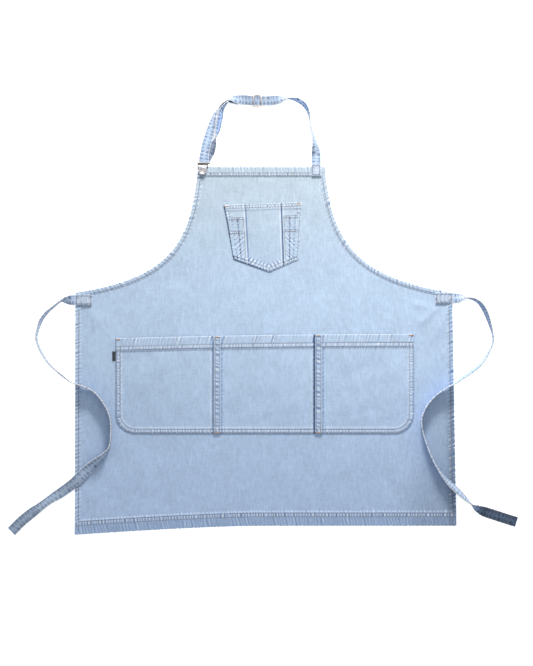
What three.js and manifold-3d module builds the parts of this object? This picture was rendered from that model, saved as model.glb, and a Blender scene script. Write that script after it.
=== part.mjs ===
// Denim smock apron lying flat, face up. Millimetres; X across the wearer, Y up to the neck, Z off the table.
// Every sewn layer keeps a small air gap to the next one, so each piece is a solid of its own.
import * as THREE from "three";
import { mergeVertices } from "three/addons/utils/BufferGeometryUtils.js";
import Module from "manifold-3d";

const wasm = await Module();
wasm.setup();

// ---- driving dimensions ----
const gap = 0.3; // air between two pieces that touch
const cloth = 0.9; // one layer of denim
const hemLayers = 3; // a hem is the cloth turned twice
const seamLayers = 4; // a felled seam folds two edges into each other

const skirtWidth = 791; // between the side corners
const skirtLength = 490; // side corner to bottom hem
const hemFlareLeft = 1.5; // how far each bottom corner stands out past its side corner
const hemFlareRight = 9;
const hemDip = 19; // the left end of the bottom hem hangs lower
const hemDipStart = 0; // X where the bottom hem starts to drop
const bibWidth = 267;
const bibHeight = 264; // side corner to the bib's top edge
const bibOffset = -6.5; // bib centre from the skirt's centre line
const skirtOffset = -1.5;
const neckLoopRise = 163; // bib's top edge to the top of the neck loop
const armholeTopHandle = 157; // handles of the armhole curve, and their angles off straight
const armholeSideHandle = 207;
const armholeTopAngle = THREE.MathUtils.degToRad(5);
const armholeSideAngle = THREE.MathUtils.degToRad(8.7);
const bibHem = 21; // hem widths
const edgeHem = 10.5;
const bottomHem = 30;

const strapWidth = 20;
const strapThickness = 2.2;
const neckBoxLength = 24; // the part of the neck strap that is sewn to the bib
const neckBoxInset = 18.5; // middle of the sewn end, in from the bib's right corner
const tieWidth = 22;
const tieThickness = 2.6;
const tieBoxLength = 36;
const tieBoxLeftDrop = 16; // middle of each sewn end, below the side corners
const tieBoxRightDrop = 12;

const pocketLeftX = -312.5; // waist pocket
const pocketRightX = 314;
const pocketDrop = 87.5; // its mouth's right end below the side corners
const pocketTopDrop = 9; // the left end of the mouth sits lower
const pocketDepth = 209;
const pocketCornerRadius = 42;
const pocketHem = 28;
const pocketCrown = 7.5; // how far the middle of a pocket stands off the skirt
const dividerLeftX = -107;
const dividerRightX = 105.5;
const dividerWidth = 15.5;

const bibPocketLeftTopX = -86; // bib pocket, a shield with a pointed bottom
const bibPocketRightTopX = 78;
const bibPocketLeftDrop = 81; // below the bib's top edge
const bibPocketRightDrop = 75;
const bibPocketLeftBottomX = -65;
const bibPocketRightBottomX = 71;
const bibPocketSideDrop = 195; // where the sides end and the point starts
const bibPocketPointX = 10;
const bibPocketPointDrop = 222;
const bibPocketCrown = 6.5;
const slotLineLeftTopX = -41; // the lines of stitching that part the tool slots from the pocket's middle
const slotLineLeftBottomX = -33;
const slotLineRightTopX = 35;
const slotLineRightBottomX = 40;
const slotTallDrop = 26; // pocket top to the mouths of the tall and short tool slots
const slotShortDrop = 55;
const slotHem = 6;

const labelWidth = 6.7;
const labelLength = 20;
const labelDrop = 36.5; // below the mouth's right end
const labelThickness = 0.8;

const buttonInset = 10.5; // button centre, in from the bib's left corner
const buttonBelowTop = 9; // button centre below the bib's top edge
const buttonRadius = 9;
const buttonHeight = 4;
const buttonStemRadius = 3.4;
const tackRadius = 5;
const tackThickness = 0.7;
const nailRadius = 1.2;
const runningClearance = 0.25;

const buckleWire = 2; // diameter
const buckleWidth = 23; // of the wire
const buckleBarRise = 13; // buckle's top wire above the button centre
const buckleBarOffset = 1.5; // the bar's middle from the button's
const buckleLoopRadius = 6.6; // middle of the wire that hooks round the button's stem
const buckleBarHeight = 3;
const buckleBarThickness = 1.1;
const buckleCurlRadius = 1.6;

const sliderX = -15;
const sliderY = 443.5;
const sliderLength = 17.5;
const sliderPlate = 1.4;
const sliderEndBar = 2;
const sliderPin = 1.8;
const sliderPinReach = 2.6; // how far the pin's tips stand out past the frame

const threadWidth = 0.9;
const threadHeight = 0.5;
const rowGap = 7.5; // between the two rows of a double-stitched seam
const edgeRow = 3; // outer row to the edge
const bartackLength = 9;
const bartackWidth = 2.4;

// ---- places that follow from them ----
const sideCornerY = (skirtLength + hemDip - bibHeight - neckLoopRise) / 2;
const bibTopY = sideCornerY + bibHeight;
const hemY = sideCornerY - skirtLength;
const sideLeftX = skirtOffset - skirtWidth / 2;
const sideRightX = skirtOffset + skirtWidth / 2;
const bibLeftX = bibOffset - bibWidth / 2;
const bibRightX = bibOffset + bibWidth / 2;
const hemThickness = cloth * hemLayers;
const seamThickness = cloth * seamLayers;
const onCloth = cloth + gap; // seats of what lies on one layer, and on a hem
const onHem = hemThickness + gap;
const stacked = strapThickness + 2 * gap; // seat of a strap that lies on another
const neckBoxX = bibRightX - neckBoxInset;
const tieBoxLeftY = sideCornerY - tieBoxLeftDrop;
const tieBoxRightY = sideCornerY - tieBoxRightDrop;
const pocketTopY = sideCornerY - pocketDrop;
const bibPocketLeftTopY = bibTopY - bibPocketLeftDrop;
const bibPocketRightTopY = bibTopY - bibPocketRightDrop;
const bibPocketSideY = bibTopY - bibPocketSideDrop;
const bibPocketPointY = bibTopY - bibPocketPointDrop;
const labelTopY = pocketTopY - labelDrop;
const buttonX = bibLeftX + buttonInset;
const buttonY = bibTopY - buttonBelowTop;
const buckleBarY = buttonY + buckleBarRise;
const wireZ = onHem + buckleWire / 2;

// ---- materials ----
const denim = { color: 0xb4cbe6, roughness: 0.92, metalness: 0 };
const denimStrap = { color: 0xa9c1de, roughness: 0.92, metalness: 0 };
const thread = { color: 0xc9b49a, roughness: 0.8, metalness: 0 };
const bartackThread = { color: 0xc98f5e, roughness: 0.8, metalness: 0 };
const pewter = { color: 0xb9aca6, roughness: 0.4, metalness: 1 };
const bronze = { color: 0x8a7466, roughness: 0.4, metalness: 1 };
const blackCloth = { color: 0x1c1d20, roughness: 0.85, metalness: 0 };

const apron = new THREE.Group();

function piece(name, geometry, finish) {
  const mesh = new THREE.Mesh(geometry, new THREE.MeshStandardMaterial(finish));
  mesh.name = name;
  apron.add(mesh);
  return mesh;
}

// ---- solids ----
function solid(geometry) {
  const bare = geometry.index ? geometry.toNonIndexed() : geometry.clone();
  bare.deleteAttribute("normal");
  bare.deleteAttribute("uv");
  const merged = mergeVertices(bare, 1e-4);
  const vertProperties = new Float32Array(merged.attributes.position.array);
  const triVerts = new Uint32Array(merged.index.array);
  return new wasm.Manifold(new wasm.Mesh({ numProp: 3, vertProperties, triVerts }));
}

function geometryOf(body) {
  const { vertProperties, triVerts } = body.getMesh();
  const geometry = new THREE.BufferGeometry();
  geometry.setAttribute("position", new THREE.BufferAttribute(vertProperties, 3));
  geometry.setIndex(new THREE.BufferAttribute(triVerts, 1));
  return geometry;
}

function slab(shape, low, high) {
  const settings = { depth: high - low, bevelEnabled: false };
  return new THREE.ExtrudeGeometry(shape, settings).translate(0, 0, low);
}

function upright(radius, x, y, low, high, sides = 24) {
  const post = new THREE.CylinderGeometry(radius, radius, high - low, sides);
  return post.rotateX(Math.PI / 2).translate(x, y, (low + high) / 2);
}

// A box bent along stations, each with a centre and the vectors across and up the section there.
function bentBox(stations) {
  const last = stations.length - 1;
  const box = new THREE.BoxGeometry(1, 1, 1, 1, 1, last);
  const position = box.attributes.position;
  const point = new THREE.Vector3();
  for (let i = 0; i < position.count; i++) {
    const station = stations[Math.round((position.getZ(i) + 0.5) * last)];
    point.copy(station.centre);
    point.addScaledVector(station.across, position.getX(i));
    point.addScaledVector(station.up, position.getY(i));
    position.setXYZ(i, point.x, point.y, point.z);
  }
  return box;
}

// A flat strap along route points [x, y, roll in degrees, height of its lowest edge].
// At roll 0 it lies face up; at 90 it stands with its left edge up, and at -90 with its right edge up.
const stepsPerPoint = 3;
function strap(route, width, thickness) {
  const line = new THREE.CatmullRomCurve3(route.map(([x, y]) => new THREE.Vector3(x, y, 0)));
  const lay = new THREE.CatmullRomCurve3(
    route.map(([, , roll, lift]) => new THREE.Vector3(THREE.MathUtils.degToRad(roll), lift, 0)),
    false,
    "catmullrom",
    0.3,
  );
  const steps = (route.length - 1) * stepsPerPoint;
  const stations = [];
  for (let i = 0; i <= steps; i++) {
    const at = line.getPoint(i / steps);
    const before = line.getPoint(Math.max(i - 0.1, 0) / steps);
    const after = line.getPoint(Math.min(i + 0.1, steps) / steps);
    const tangent = after.sub(before).normalize();
    const left = new THREE.Vector3(-tangent.y, tangent.x, 0);
    const { x: roll, y: lift } = lay.getPoint(i / steps);
    const across = left.multiplyScalar(Math.cos(roll)).setZ(Math.sin(roll));
    const up = tangent.clone().cross(across);
    const rest = (width * Math.abs(across.z) + thickness * Math.abs(up.z)) / 2;
    at.z = Math.max(lift, 0) + rest;
    across.multiplyScalar(width);
    up.multiplyScalar(thickness);
    stations.push({ centre: at, across, up });
  }
  return bentBox(stations);
}

// A ridge of thread through points on a surface, mitred at its corners. The points hold x, y and the seat.
function ridge(points) {
  const stations = points.map((point, i) => {
    const into = point.clone().sub(points[Math.max(i - 1, 0)]).setZ(0).normalize();
    const out = points[Math.min(i + 1, points.length - 1)].clone().sub(point).setZ(0).normalize();
    const along = into.clone().add(out).normalize();
    const straight = into.lengthSq() > 0 ? Math.max(along.dot(into), 0.4) : 1;
    const left = new THREE.Vector3(-along.y, along.x, 0);
    return {
      centre: point.clone().setZ(point.z + threadHeight / 2),
      across: left.multiplyScalar(threadWidth / straight),
      up: new THREE.Vector3(0, 0, threadHeight),
    };
  });
  return bentBox(stations);
}

// A thin curved panel over the unit square: outline(u, v) gives x and y, seat(u, v) its underside,
// thickness(u, v) its layers. columns and rows list where the grid lines lie, v running down.
function panel(columns, rows, outline, seat, thickness) {
  const sheet = new THREE.BoxGeometry(1, 1, 1, columns.length - 1, rows.length - 1, 1);
  const position = sheet.attributes.position;
  for (let i = 0; i < position.count; i++) {
    const u = columns[Math.round((position.getX(i) + 0.5) * (columns.length - 1))];
    const v = rows[Math.round((0.5 - position.getY(i)) * (rows.length - 1))];
    const [x, y] = outline(u, v);
    const top = position.getZ(i) > 0;
    position.setXYZ(i, x, y, seat(u, v) + (top ? thickness(u, v) : 0));
  }
  return sheet;
}

const mix = THREE.MathUtils.lerp;

function fractions(count) {
  return Array.from({ length: count + 1 }, (_, i) => i / count);
}

function flatPoints(points, seat) {
  return points.map(([x, y]) => new THREE.Vector3(x, y, seat));
}

// A polyline moved sideways to its left by a distance.
function offset(points, distance) {
  return points.map((point, i) => {
    const before = points[Math.max(i - 1, 0)];
    const after = points[Math.min(i + 1, points.length - 1)];
    const along = new THREE.Vector2(after.x - before.x, after.y - before.y).normalize();
    return new THREE.Vector2(point.x - along.y * distance, point.y + along.x * distance);
  });
}

function shapeOf(points) {
  return new THREE.Shape(points.map(([x, y]) => new THREE.Vector2(x, y)));
}

// ---- the apron's panel ----
// One side's armhole, from the bib's corner down to the side corner. side is -1 for left and 1 for right.
function armhole(side) {
  const top = new THREE.Vector2(side < 0 ? bibLeftX : bibRightX, bibTopY);
  const corner = new THREE.Vector2(side < 0 ? sideLeftX : sideRightX, sideCornerY);
  const topHandle = new THREE.Vector2(
    top.x + side * armholeTopHandle * Math.sin(armholeTopAngle),
    top.y - armholeTopHandle * Math.cos(armholeTopAngle),
  );
  const sideHandle = new THREE.Vector2(
    corner.x - side * armholeSideHandle * Math.cos(armholeSideAngle),
    corner.y + armholeSideHandle * Math.sin(armholeSideAngle),
  );
  return new THREE.CubicBezierCurve(top, topHandle, sideHandle, corner).getPoints(20);
}

const bottomLeft = new THREE.Vector2(sideLeftX - hemFlareLeft, hemY - hemDip);
const bottomRight = new THREE.Vector2(sideRightX + hemFlareRight, hemY);
const dipStart = new THREE.Vector2(hemDipStart, hemY);
const dipHandle = new THREE.Vector2(mix(hemDipStart, sideLeftX, 0.3), hemY);
const bottomEdge = [
  ...new THREE.QuadraticBezierCurve(bottomLeft, dipHandle, dipStart).getPoints(8),
  bottomRight,
];
const leftArmhole = armhole(-1);
const rightArmhole = armhole(1);
// Each edge runs anticlockwise round the panel, so its left is the inside.
const edges = {
  top: [rightArmhole[0], leftArmhole[0]],
  armholeLeft: leftArmhole,
  sideLeft: [leftArmhole.at(-1), bottomLeft],
  bottom: bottomEdge,
  sideRight: [bottomRight, rightArmhole.at(-1)],
  armholeRight: rightArmhole.toReversed(),
};
const outline = Object.values(edges).flatMap((edge) => edge.slice(0, -1));
const outlineSolid = solid(slab(new THREE.Shape(outline), 0, hemThickness));

function hemBand(edge, width) {
  const band = new THREE.Shape([...edge, ...offset(edge, width).toReversed()]);
  return solid(slab(band, 0, hemThickness)).intersect(outlineSolid);
}

let mainPanel = solid(slab(new THREE.Shape(outline), 0, cloth))
  .add(hemBand(edges.top, bibHem))
  .add(hemBand(edges.bottom, bottomHem));
for (const name of ["armholeLeft", "sideLeft", "sideRight", "armholeRight"]) {
  mainPanel = mainPanel.add(hemBand(edges[name], edgeHem));
}
const tackRecess = tackThickness + 2 * gap;
mainPanel = mainPanel
  .subtract(solid(upright(nailRadius + gap, buttonX, buttonY, -1, hemThickness + 1)))
  .subtract(solid(upright(tackRadius + gap, buttonX, buttonY, -1, tackRecess)));
piece("main_panel", geometryOf(mainPanel), denim);

// ---- topstitching along the panel's edges ----
// A polyline resampled without the margins at its ends.
function trim(points, startMargin, endMargin = startMargin) {
  const path = new THREE.Path(points);
  const length = path.getLength();
  const kept = length - startMargin - endMargin;
  return fractions(points.length - 1).map((f) => path.getPointAt((startMargin + f * kept) / length));
}

function raise(points, seat) {
  return points.map((p) => new THREE.Vector3(p.x, p.y, seat));
}

// Two rows joined at one end, as sewn without a stop.
function doubleRow(edge, first, second, seat, margin) {
  const outer = trim(offset(edge, first), margin);
  const inner = trim(offset(edge, second), margin);
  return ridge(raise([...outer, ...inner.toReversed()], seat));
}

const neckBoxLeft = neckBoxX - strapWidth / 2;
const topHemEdge = [
  new THREE.Vector2(neckBoxLeft, bibTopY),
  new THREE.Vector2(buttonX + buttonRadius, bibTopY),
];
const topHemRow = bibHem - edgeRow;
const topHemStitch = doubleRow(topHemEdge, topHemRow - rowGap, topHemRow, onHem, edgeRow);
piece("stitch_top_hem", topHemStitch, thread);
const bottomHemRow = bottomHem - edgeRow;
const bottomHemStitch = doubleRow(bottomEdge, bottomHemRow - rowGap, bottomHemRow, onHem, edgeHem);
piece("stitch_bottom_hem", bottomHemStitch, thread);

const edgeRowInset = edgeHem - edgeRow;
function edgeStitch(name, edge, startMargin, endMargin) {
  piece(name, ridge(raise(trim(offset(edge, edgeRowInset), startMargin, endMargin), onHem)), thread);
}
const bibEnd = bibHem + strapWidth / 2;
const tieEnd = tieBoxLength + edgeRow;
edgeStitch("stitch_armhole_left", edges.armholeLeft, bibEnd, tieEnd);
edgeStitch("stitch_armhole_right", edges.armholeRight, tieEnd, bibEnd);
edgeStitch("stitch_side_left", edges.sideLeft, tieEnd, bottomHem + edgeRow);
edgeStitch("stitch_side_right", edges.sideRight, bottomHem + edgeRow, tieEnd);

// ---- waist pocket: three panels joined by felled seams, standing open at the mouth ----
const pocketBottomY = pocketTopY - pocketDepth;
const pocketWidth = pocketRightX - pocketLeftX;
const mouthY = (x) => pocketTopY - pocketTopDrop * ((pocketRightX - x) / pocketWidth) ** 2;

// The pocket's outer ends, which round off towards the bottom. side is -1 for left and 1 for right.
function pocketEndX(side, y) {
  const end = side < 0 ? pocketLeftX : pocketRightX;
  const below = Math.max(pocketBottomY + pocketCornerRadius - y, 0);
  const inset = pocketCornerRadius - Math.sqrt(Math.max(pocketCornerRadius ** 2 - below ** 2, 0));
  return end - side * inset;
}

const sewnMargin = 0.06; // share of a pocket's width that is sewn flat at each side
function bulge(u, start = sewnMargin) {
  const inside = THREE.MathUtils.clamp((u - start) / (1 - start - sewnMargin), 0, 1);
  return 1 - (2 * inside - 1) ** 4;
}
const sewnBottom = 0.93; // share of the depth at which the bottom seam starts
const openness = (v) => 1 - Math.min(v / sewnBottom, 1) ** 3;
const cornerStart = 1 - pocketCornerRadius / pocketDepth;
const cornerRows = [0, 0.3, 0.55, 0.75, 0.9, 0.97, 1];
const pocketRows = [0, 0.999, 1.001, 2.2, 3.4, 4.6, 5.6].map((k) => (k * pocketHem) / pocketDepth);
pocketRows.push(...cornerRows.map((f) => mix(cornerStart, 1, f)));
const pocketColumns = fractions(16);

// u and v on the pocket to x and y, for the part between two divider lines.
function pocketPlace(left, right) {
  return (u, v) => {
    const y = mix(pocketTopY, pocketBottomY, v);
    const x = mix(left ?? pocketEndX(-1, y), right ?? pocketEndX(1, y), u);
    return [x, mix(mouthY(x), pocketBottomY, v)];
  };
}

const hemShare = pocketHem / pocketDepth;
function pocketPanel(name, left, right, hasSeam) {
  const place = pocketPlace(left, right);
  const width = (right ?? pocketRightX) - (left ?? pocketLeftX);
  const seamShare = hasSeam ? dividerWidth / width : 0;
  const seamColumns = hasSeam ? [0, seamShare * 0.999, seamShare * 1.001] : [0];
  const columns = [...seamColumns, ...pocketColumns.filter((u) => u > seamShare + 0.02)];
  const flatShare = Math.max(seamShare * 1.001, sewnMargin);
  const rise = (u, v) => onCloth + pocketCrown * bulge(u, flatShare) * openness(v);
  const layers = (u, v) => (u < seamShare ? seamThickness : v < hemShare ? hemThickness : cloth);
  piece(name, panel(columns, pocketRows, place, rise, layers), denim);
  return { place, top: (u, v) => rise(u, v) + layers(u, v), seamShare };
}

const pockets = {
  left: pocketPanel("pocket_panel_left", null, dividerLeftX - gap, false),
  center: pocketPanel("pocket_panel_center", dividerLeftX, dividerRightX - gap, true),
  right: pocketPanel("pocket_panel_right", dividerRightX, null, true),
};

// A point on top of a pocket panel, lifted by the gap that thread keeps.
function onPocket(pocket, u, v) {
  const [x, y] = pocket.place(u, v);
  return new THREE.Vector3(x, y, pocket.top(u, v) + gap);
}

const rowShare = rowGap / pocketDepth;
const hemRowShare = (pocketHem - edgeRow) / pocketDepth;
for (const [side, pocket] of Object.entries(pockets)) {
  const start = pocket.seamShare > 0 ? pocket.seamShare + 0.04 : 0.09;
  const along = pocketColumns.filter((u) => u >= start && u <= 0.93);
  const upper = along.map((u) => onPocket(pocket, u, hemRowShare - rowShare));
  const lower = along.map((u) => onPocket(pocket, u, hemRowShare));
  piece("stitch_pocket_hem_" + side, ridge([...upper, ...lower.toReversed()]), thread);
}

// Each divider's two rows run down its felled seam and are joined at the bottom.
function dividerStitch(name, pocket) {
  const inset = pocket.seamShare * 0.2;
  const down = pocketRows.filter((v) => v > 0.06 && v < 0.92);
  const first = down.map((v) => onPocket(pocket, inset, v));
  const second = down.map((v) => onPocket(pocket, pocket.seamShare - inset, v));
  piece(name, ridge([...first, ...second.toReversed()]), thread);
}
dividerStitch("stitch_divider_left", pockets.center);
dividerStitch("stitch_divider_right", pockets.right);

// The double row round the pocket's sides and bottom, one ridge for each outer end and the middle.
function endStitch(name, pocket, side) {
  const at = (share) => (side < 0 ? share : 1 - share);
  const width = Math.abs(pocket.place(1, 0)[0] - pocket.place(0, 0)[0]);
  const down = pocketRows.filter((v) => v > hemShare + 0.03 && v < 0.8);
  const outer = down.map((v) => onPocket(pocket, at(edgeRow / width), v));
  const inner = down.map((v) => onPocket(pocket, at((edgeRow + rowGap) / width), v));
  piece(name, ridge([...outer, ...inner.toReversed()]), thread);
}
endStitch("stitch_pocket_left_end", pockets.left, -1);
endStitch("stitch_pocket_right_end", pockets.right, 1);
for (const [side, pocket] of Object.entries(pockets)) {
  const start = pocket.seamShare > 0 ? pocket.seamShare + 0.04 : 0.12;
  const along = pocketColumns.filter((u) => u >= start && u <= (side === "right" ? 0.88 : 0.96));
  const depth = (inset) => 1 - inset / pocketDepth;
  const outer = along.map((u) => onPocket(pocket, u, depth(edgeRow)));
  const inner = along.map((u) => onPocket(pocket, u, depth(edgeRow + rowGap)));
  piece("stitch_pocket_bottom_" + side, ridge([...outer, ...inner.toReversed()]), thread);
}

// ---- bib pocket with two tool slots at each side ----
const bibPocketOutline = {
  left: (v) => mix(bibPocketLeftTopX, bibPocketLeftBottomX, v),
  right: (v) => mix(bibPocketRightTopX, bibPocketRightBottomX, v),
};
function bibBottomY(x) {
  const left = (bibPocketPointX - x) / (bibPocketPointX - bibPocketLeftBottomX);
  const right = (x - bibPocketPointX) / (bibPocketRightBottomX - bibPocketPointX);
  return mix(bibPocketPointY, bibPocketSideY, Math.max(left, right, 0));
}
function bibTopEdgeY(x) {
  const share = (x - bibPocketLeftTopX) / (bibPocketRightTopX - bibPocketLeftTopX);
  return mix(bibPocketLeftTopY, bibPocketRightTopY, share);
}
const slotLineLeft = (v) => mix(slotLineLeftTopX, slotLineLeftBottomX, v);
const slotLineRight = (v) => mix(slotLineRightTopX, slotLineRightBottomX, v);
const bibPocketMiddle = 0.5 * (bibPocketLeftTopY + bibPocketRightTopY) - bibPocketPointY;

// Columns of the bib pocket: its two sides are flat, and its middle stands open.
const sideColumns = 3;
const middleColumns = 12;
function bibPocketPlace(u, v) {
  const column = u * (2 * sideColumns + middleColumns);
  const lines = [bibPocketOutline.left(v), slotLineLeft(v), slotLineRight(v), bibPocketOutline.right(v)];
  let x = mix(lines[1], lines[2], (column - sideColumns) / middleColumns);
  if (column < sideColumns) {
    x = mix(lines[0], lines[1], column / sideColumns);
  }
  if (column > sideColumns + middleColumns) {
    x = mix(lines[2], lines[3], (column - sideColumns - middleColumns) / sideColumns);
  }
  return [x, mix(bibTopEdgeY(x), bibBottomY(x), v)];
}
const bibSewnBottom = 0.88;
function bibPocketSeat(u, v) {
  const column = u * (2 * sideColumns + middleColumns);
  const across = THREE.MathUtils.clamp((column - sideColumns) / middleColumns, 0, 1);
  const open = 1 - Math.min(v / bibSewnBottom, 1) ** 3;
  return onCloth + bibPocketCrown * bulge(across) * open;
}
const bibHemShare = (edgeHem + edgeRow) / bibPocketMiddle;
const bibRows = [0, bibHemShare * 0.999, bibHemShare * 1.001, 0.3, 0.45, 0.6, 0.75, 0.88, 1];
const bibLayers = (u, v) => (v < bibHemShare ? 2 * cloth : cloth);
const bibColumns = fractions(2 * sideColumns + middleColumns);
const bibPocket = panel(bibColumns, bibRows, bibPocketPlace, bibPocketSeat, bibLayers);
piece("bib_pocket", bibPocket, denim);

// A tool slot is a layer over the bib pocket's side, from its own mouth down to the pocket's bottom.
const slotInset = 4; // slots stop short of the pocket's own edge stitching
const slotFoldShare = 0.2; // of a slot's height, turned down at its mouth
function toolSlot(name, outerLine, innerLine, drop, seat) {
  const place = (u, v) => {
    const share = mix(drop / bibPocketMiddle, 0.92, v);
    const x = mix(outerLine(share), innerLine(share), u);
    return [x, mix(bibTopEdgeY(x) - drop, bibBottomY(x) + slotInset + edgeRow, v)];
  };
  const layers = (u, v) => (v < slotFoldShare ? 2 * cloth : cloth);
  const slotRows = [0, slotFoldShare - 0.001, slotFoldShare + 0.001, 1];
  const mesh = panel(fractions(2), slotRows, place, () => seat, layers);
  piece(name, mesh, denim);
}
const slotLeft = (v) => bibPocketOutline.left(v) + slotInset;
const slotRight = (v) => bibPocketOutline.right(v) - slotInset;
const tallSeat = onCloth + cloth + gap; // clear of the hems, each slot lies on one layer
const shortSeat = tallSeat + cloth + gap;
const slotLeftEnd = (v) => slotLineLeft(v) - slotHem / 2;
const slotRightEnd = (v) => slotLineRight(v) + slotHem / 2;
toolSlot("bib_slot_left_tall", slotLeft, slotLeftEnd, slotTallDrop, tallSeat);
toolSlot("bib_slot_left_short", slotLeft, slotLeftEnd, slotShortDrop, shortSeat);
toolSlot("bib_slot_right_tall", slotRightEnd, slotRight, slotTallDrop, tallSeat);
toolSlot("bib_slot_right_short", slotRightEnd, slotRight, slotShortDrop, shortSeat);

// ---- bartacks: dense bars of thread at the pocket corners and divider ends ----
function bartack(name, x, y, seat) {
  const bar = new THREE.BoxGeometry(bartackLength, bartackWidth, threadHeight);
  piece(name, bar, bartackThread).position.set(x, y, seat + threadHeight / 2);
}
const cornerInset = bartackLength / 2 + 1;
const mouthInset = bartackWidth;
const onPocketHem = onCloth + hemThickness + gap;
const onSeam = onCloth + seamThickness + gap;
const leftTackX = pocketLeftX + cornerInset;
const rightTackX = pocketRightX - cornerInset;
bartack("bartack_pocket_left", leftTackX, mouthY(leftTackX) - mouthInset, onPocketHem);
bartack("bartack_pocket_right", rightTackX, mouthY(rightTackX) - mouthInset, onPocketHem);
for (const [side, line] of Object.entries({ left: dividerLeftX, right: dividerRightX })) {
  const x = line + dividerWidth / 2;
  bartack(`bartack_divider_${side}_top`, x, mouthY(x) - mouthInset, onSeam);
  bartack(`bartack_divider_${side}_bottom`, x, pocketBottomY + mouthInset, onSeam);
}
const bibTackInset = bartackLength / 2 + 1.5;
const onBibHem = onCloth + 2 * cloth + gap;
const bibTackLeftX = bibPocketLeftTopX + bibTackInset;
const bibTackRightX = bibPocketRightTopX - bibTackInset;
bartack("bartack_bib_left", bibTackLeftX, bibTopEdgeY(bibTackLeftX) - mouthInset, onBibHem);
bartack("bartack_bib_right", bibTackRightX, bibTopEdgeY(bibTackRightX) - mouthInset, onBibHem);

// ---- bib pocket stitching ----
function onBibPocket(u, v) {
  const [x, y] = bibPocketPlace(u, v);
  return new THREE.Vector3(x, y, bibPocketSeat(u, v) + bibLayers(u, v) + gap);
}
const bibMiddle = bibColumns.slice(sideColumns + 1, -sideColumns - 1);
const bibFootRows = [0.95, 0.89]; // shares of the pocket's depth
const bibMouthRows = [0.03, 0.075];
const [bibFoot, bibFootInner] = bibFootRows.map((v) => bibMiddle.map((u) => onBibPocket(u, v)));
piece("stitch_bib_pocket_bottom", ridge([...bibFoot, ...bibFootInner.toReversed()]), thread);
const [bibMouth, bibMouthInner] = bibMouthRows.map((v) => bibMiddle.map((u) => onBibPocket(u, v)));
piece("stitch_bib_pocket_mouth", ridge([...bibMouth, ...bibMouthInner.toReversed()]), thread);

// ---- side label: a folded woven tab caught in the pocket's left edge ----
const labelX = pocketLeftX - gap - labelWidth / 2;
const label = new THREE.BoxGeometry(labelWidth, labelLength, labelThickness);
const labelZ = onCloth + labelThickness / 2;
piece("side_label", label, blackCloth).position.set(labelX, labelTopY - labelLength / 2, labelZ);

// ---- sewn ends of the straps, each a stitched box on a hem ----
function sewnEnd(name, x, y, length, width, thickness) {
  const end = new THREE.BoxGeometry(length, width, thickness);
  piece(name, end, denimStrap).position.set(x, y, onHem + thickness / 2);
}
const boxInset = 2.5;
function boxStitch(name, x, y, length, width, seat) {
  const a = length / 2 - boxInset;
  const b = width / 2 - boxInset;
  const open = threadWidth * 1.5; // the loop of thread stops just short of its start
  const corners = [[a, b - open], [a, -b], [-a, -b], [-a, b], [a - open, b]];
  piece(name, ridge(flatPoints(corners.map(([dx, dy]) => [x + dx, y + dy]), seat)), thread);
}
const neckBoxReach = 4.2; // past the bib's top edge, to the line about which the strap folds up
const neckBoxY = bibTopY + neckBoxReach - neckBoxLength / 2;
sewnEnd("neck_strap_end", neckBoxX, neckBoxY, strapWidth, neckBoxLength, strapThickness);
const neckBoxSeat = onHem + strapThickness + gap;
boxStitch("stitch_neck_box", neckBoxX, neckBoxY, strapWidth, neckBoxLength, neckBoxSeat);
const tieSeat = onHem + tieThickness + gap;
const tieOverhang = 0.5; // the sewn end stands out past the panel's side edge
const tieLeftX = sideLeftX + tieBoxLength / 2 - tieOverhang;
const tieRightX = sideRightX - tieBoxLength / 2 + tieOverhang;
sewnEnd("waist_tie_left_end", tieLeftX, tieBoxLeftY, tieBoxLength, tieWidth, tieThickness);
sewnEnd("waist_tie_right_end", tieRightX, tieBoxRightY, tieBoxLength, tieWidth, tieThickness);
boxStitch("stitch_tie_left_box", tieLeftX, tieBoxLeftY, tieBoxLength, tieWidth, tieSeat);
boxStitch("stitch_tie_right_box", tieRightX, tieBoxRightY, tieBoxLength, tieWidth, tieSeat);

// ---- free straps: hand-laid routes of [x, y, roll, height of the lowest edge] ----
const onEdgeHem = onHem + threadHeight + gap;
const onPanel = onCloth + 0.2; // a strap on its edge clears the cloth's weave
const tieLeftRoute = [
  [-398.5, 25, 0, onHem],
  [-407.5, 25, -20, 2],
  [-417, 24.5, -50, 0.5],
  [-427.5, 22.5, -85, 0],
  [-443, 10.5, -84, 0],
  [-458, -2.5, -78, 0],
  [-469.5, -19, -76, 0],
  [-475.5, -38, -82, 0],
  [-478, -54, -86, 0],
  [-474.5, -69.5, -87, 0],
  [-465.5, -88.5, -88, 0],
  [-452.5, -107.5, -89, 0],
  [-438.5, -121.5, -93, 0],
  [-422, -135.5, -98, 0.5],
  [-406.5, -147, -93, onHem],
  [-394, -151.5, -90, onEdgeHem],
  [-375.5, -157.5, -90, onEdgeHem],
  [-357, -168, -90, onPanel],
  [-342.5, -184, -90, onPanel],
  [-330.5, -204, -90, onPanel],
  [-323, -226, -90, onPanel],
  [-322, -254.5, -90, onPanel],
  [-325.5, -283.5, -87, onPanel],
  [-338, -301.5, -65, onPanel],
  [-357, -318.5, -35, onPanel],
  [-378, -337, -10, onEdgeHem],
  [-402, -360.5, 0, onEdgeHem],
  [-425.5, -378, 10, 1],
  [-450.5, -394, 40, 0],
  [-471.5, -409.5, 35, 0],
  [-490.5, -423.5, 10, 0],
  [-509.5, -439, 0, 0],
  [-531.5, -461, 0, 0],
];
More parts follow.
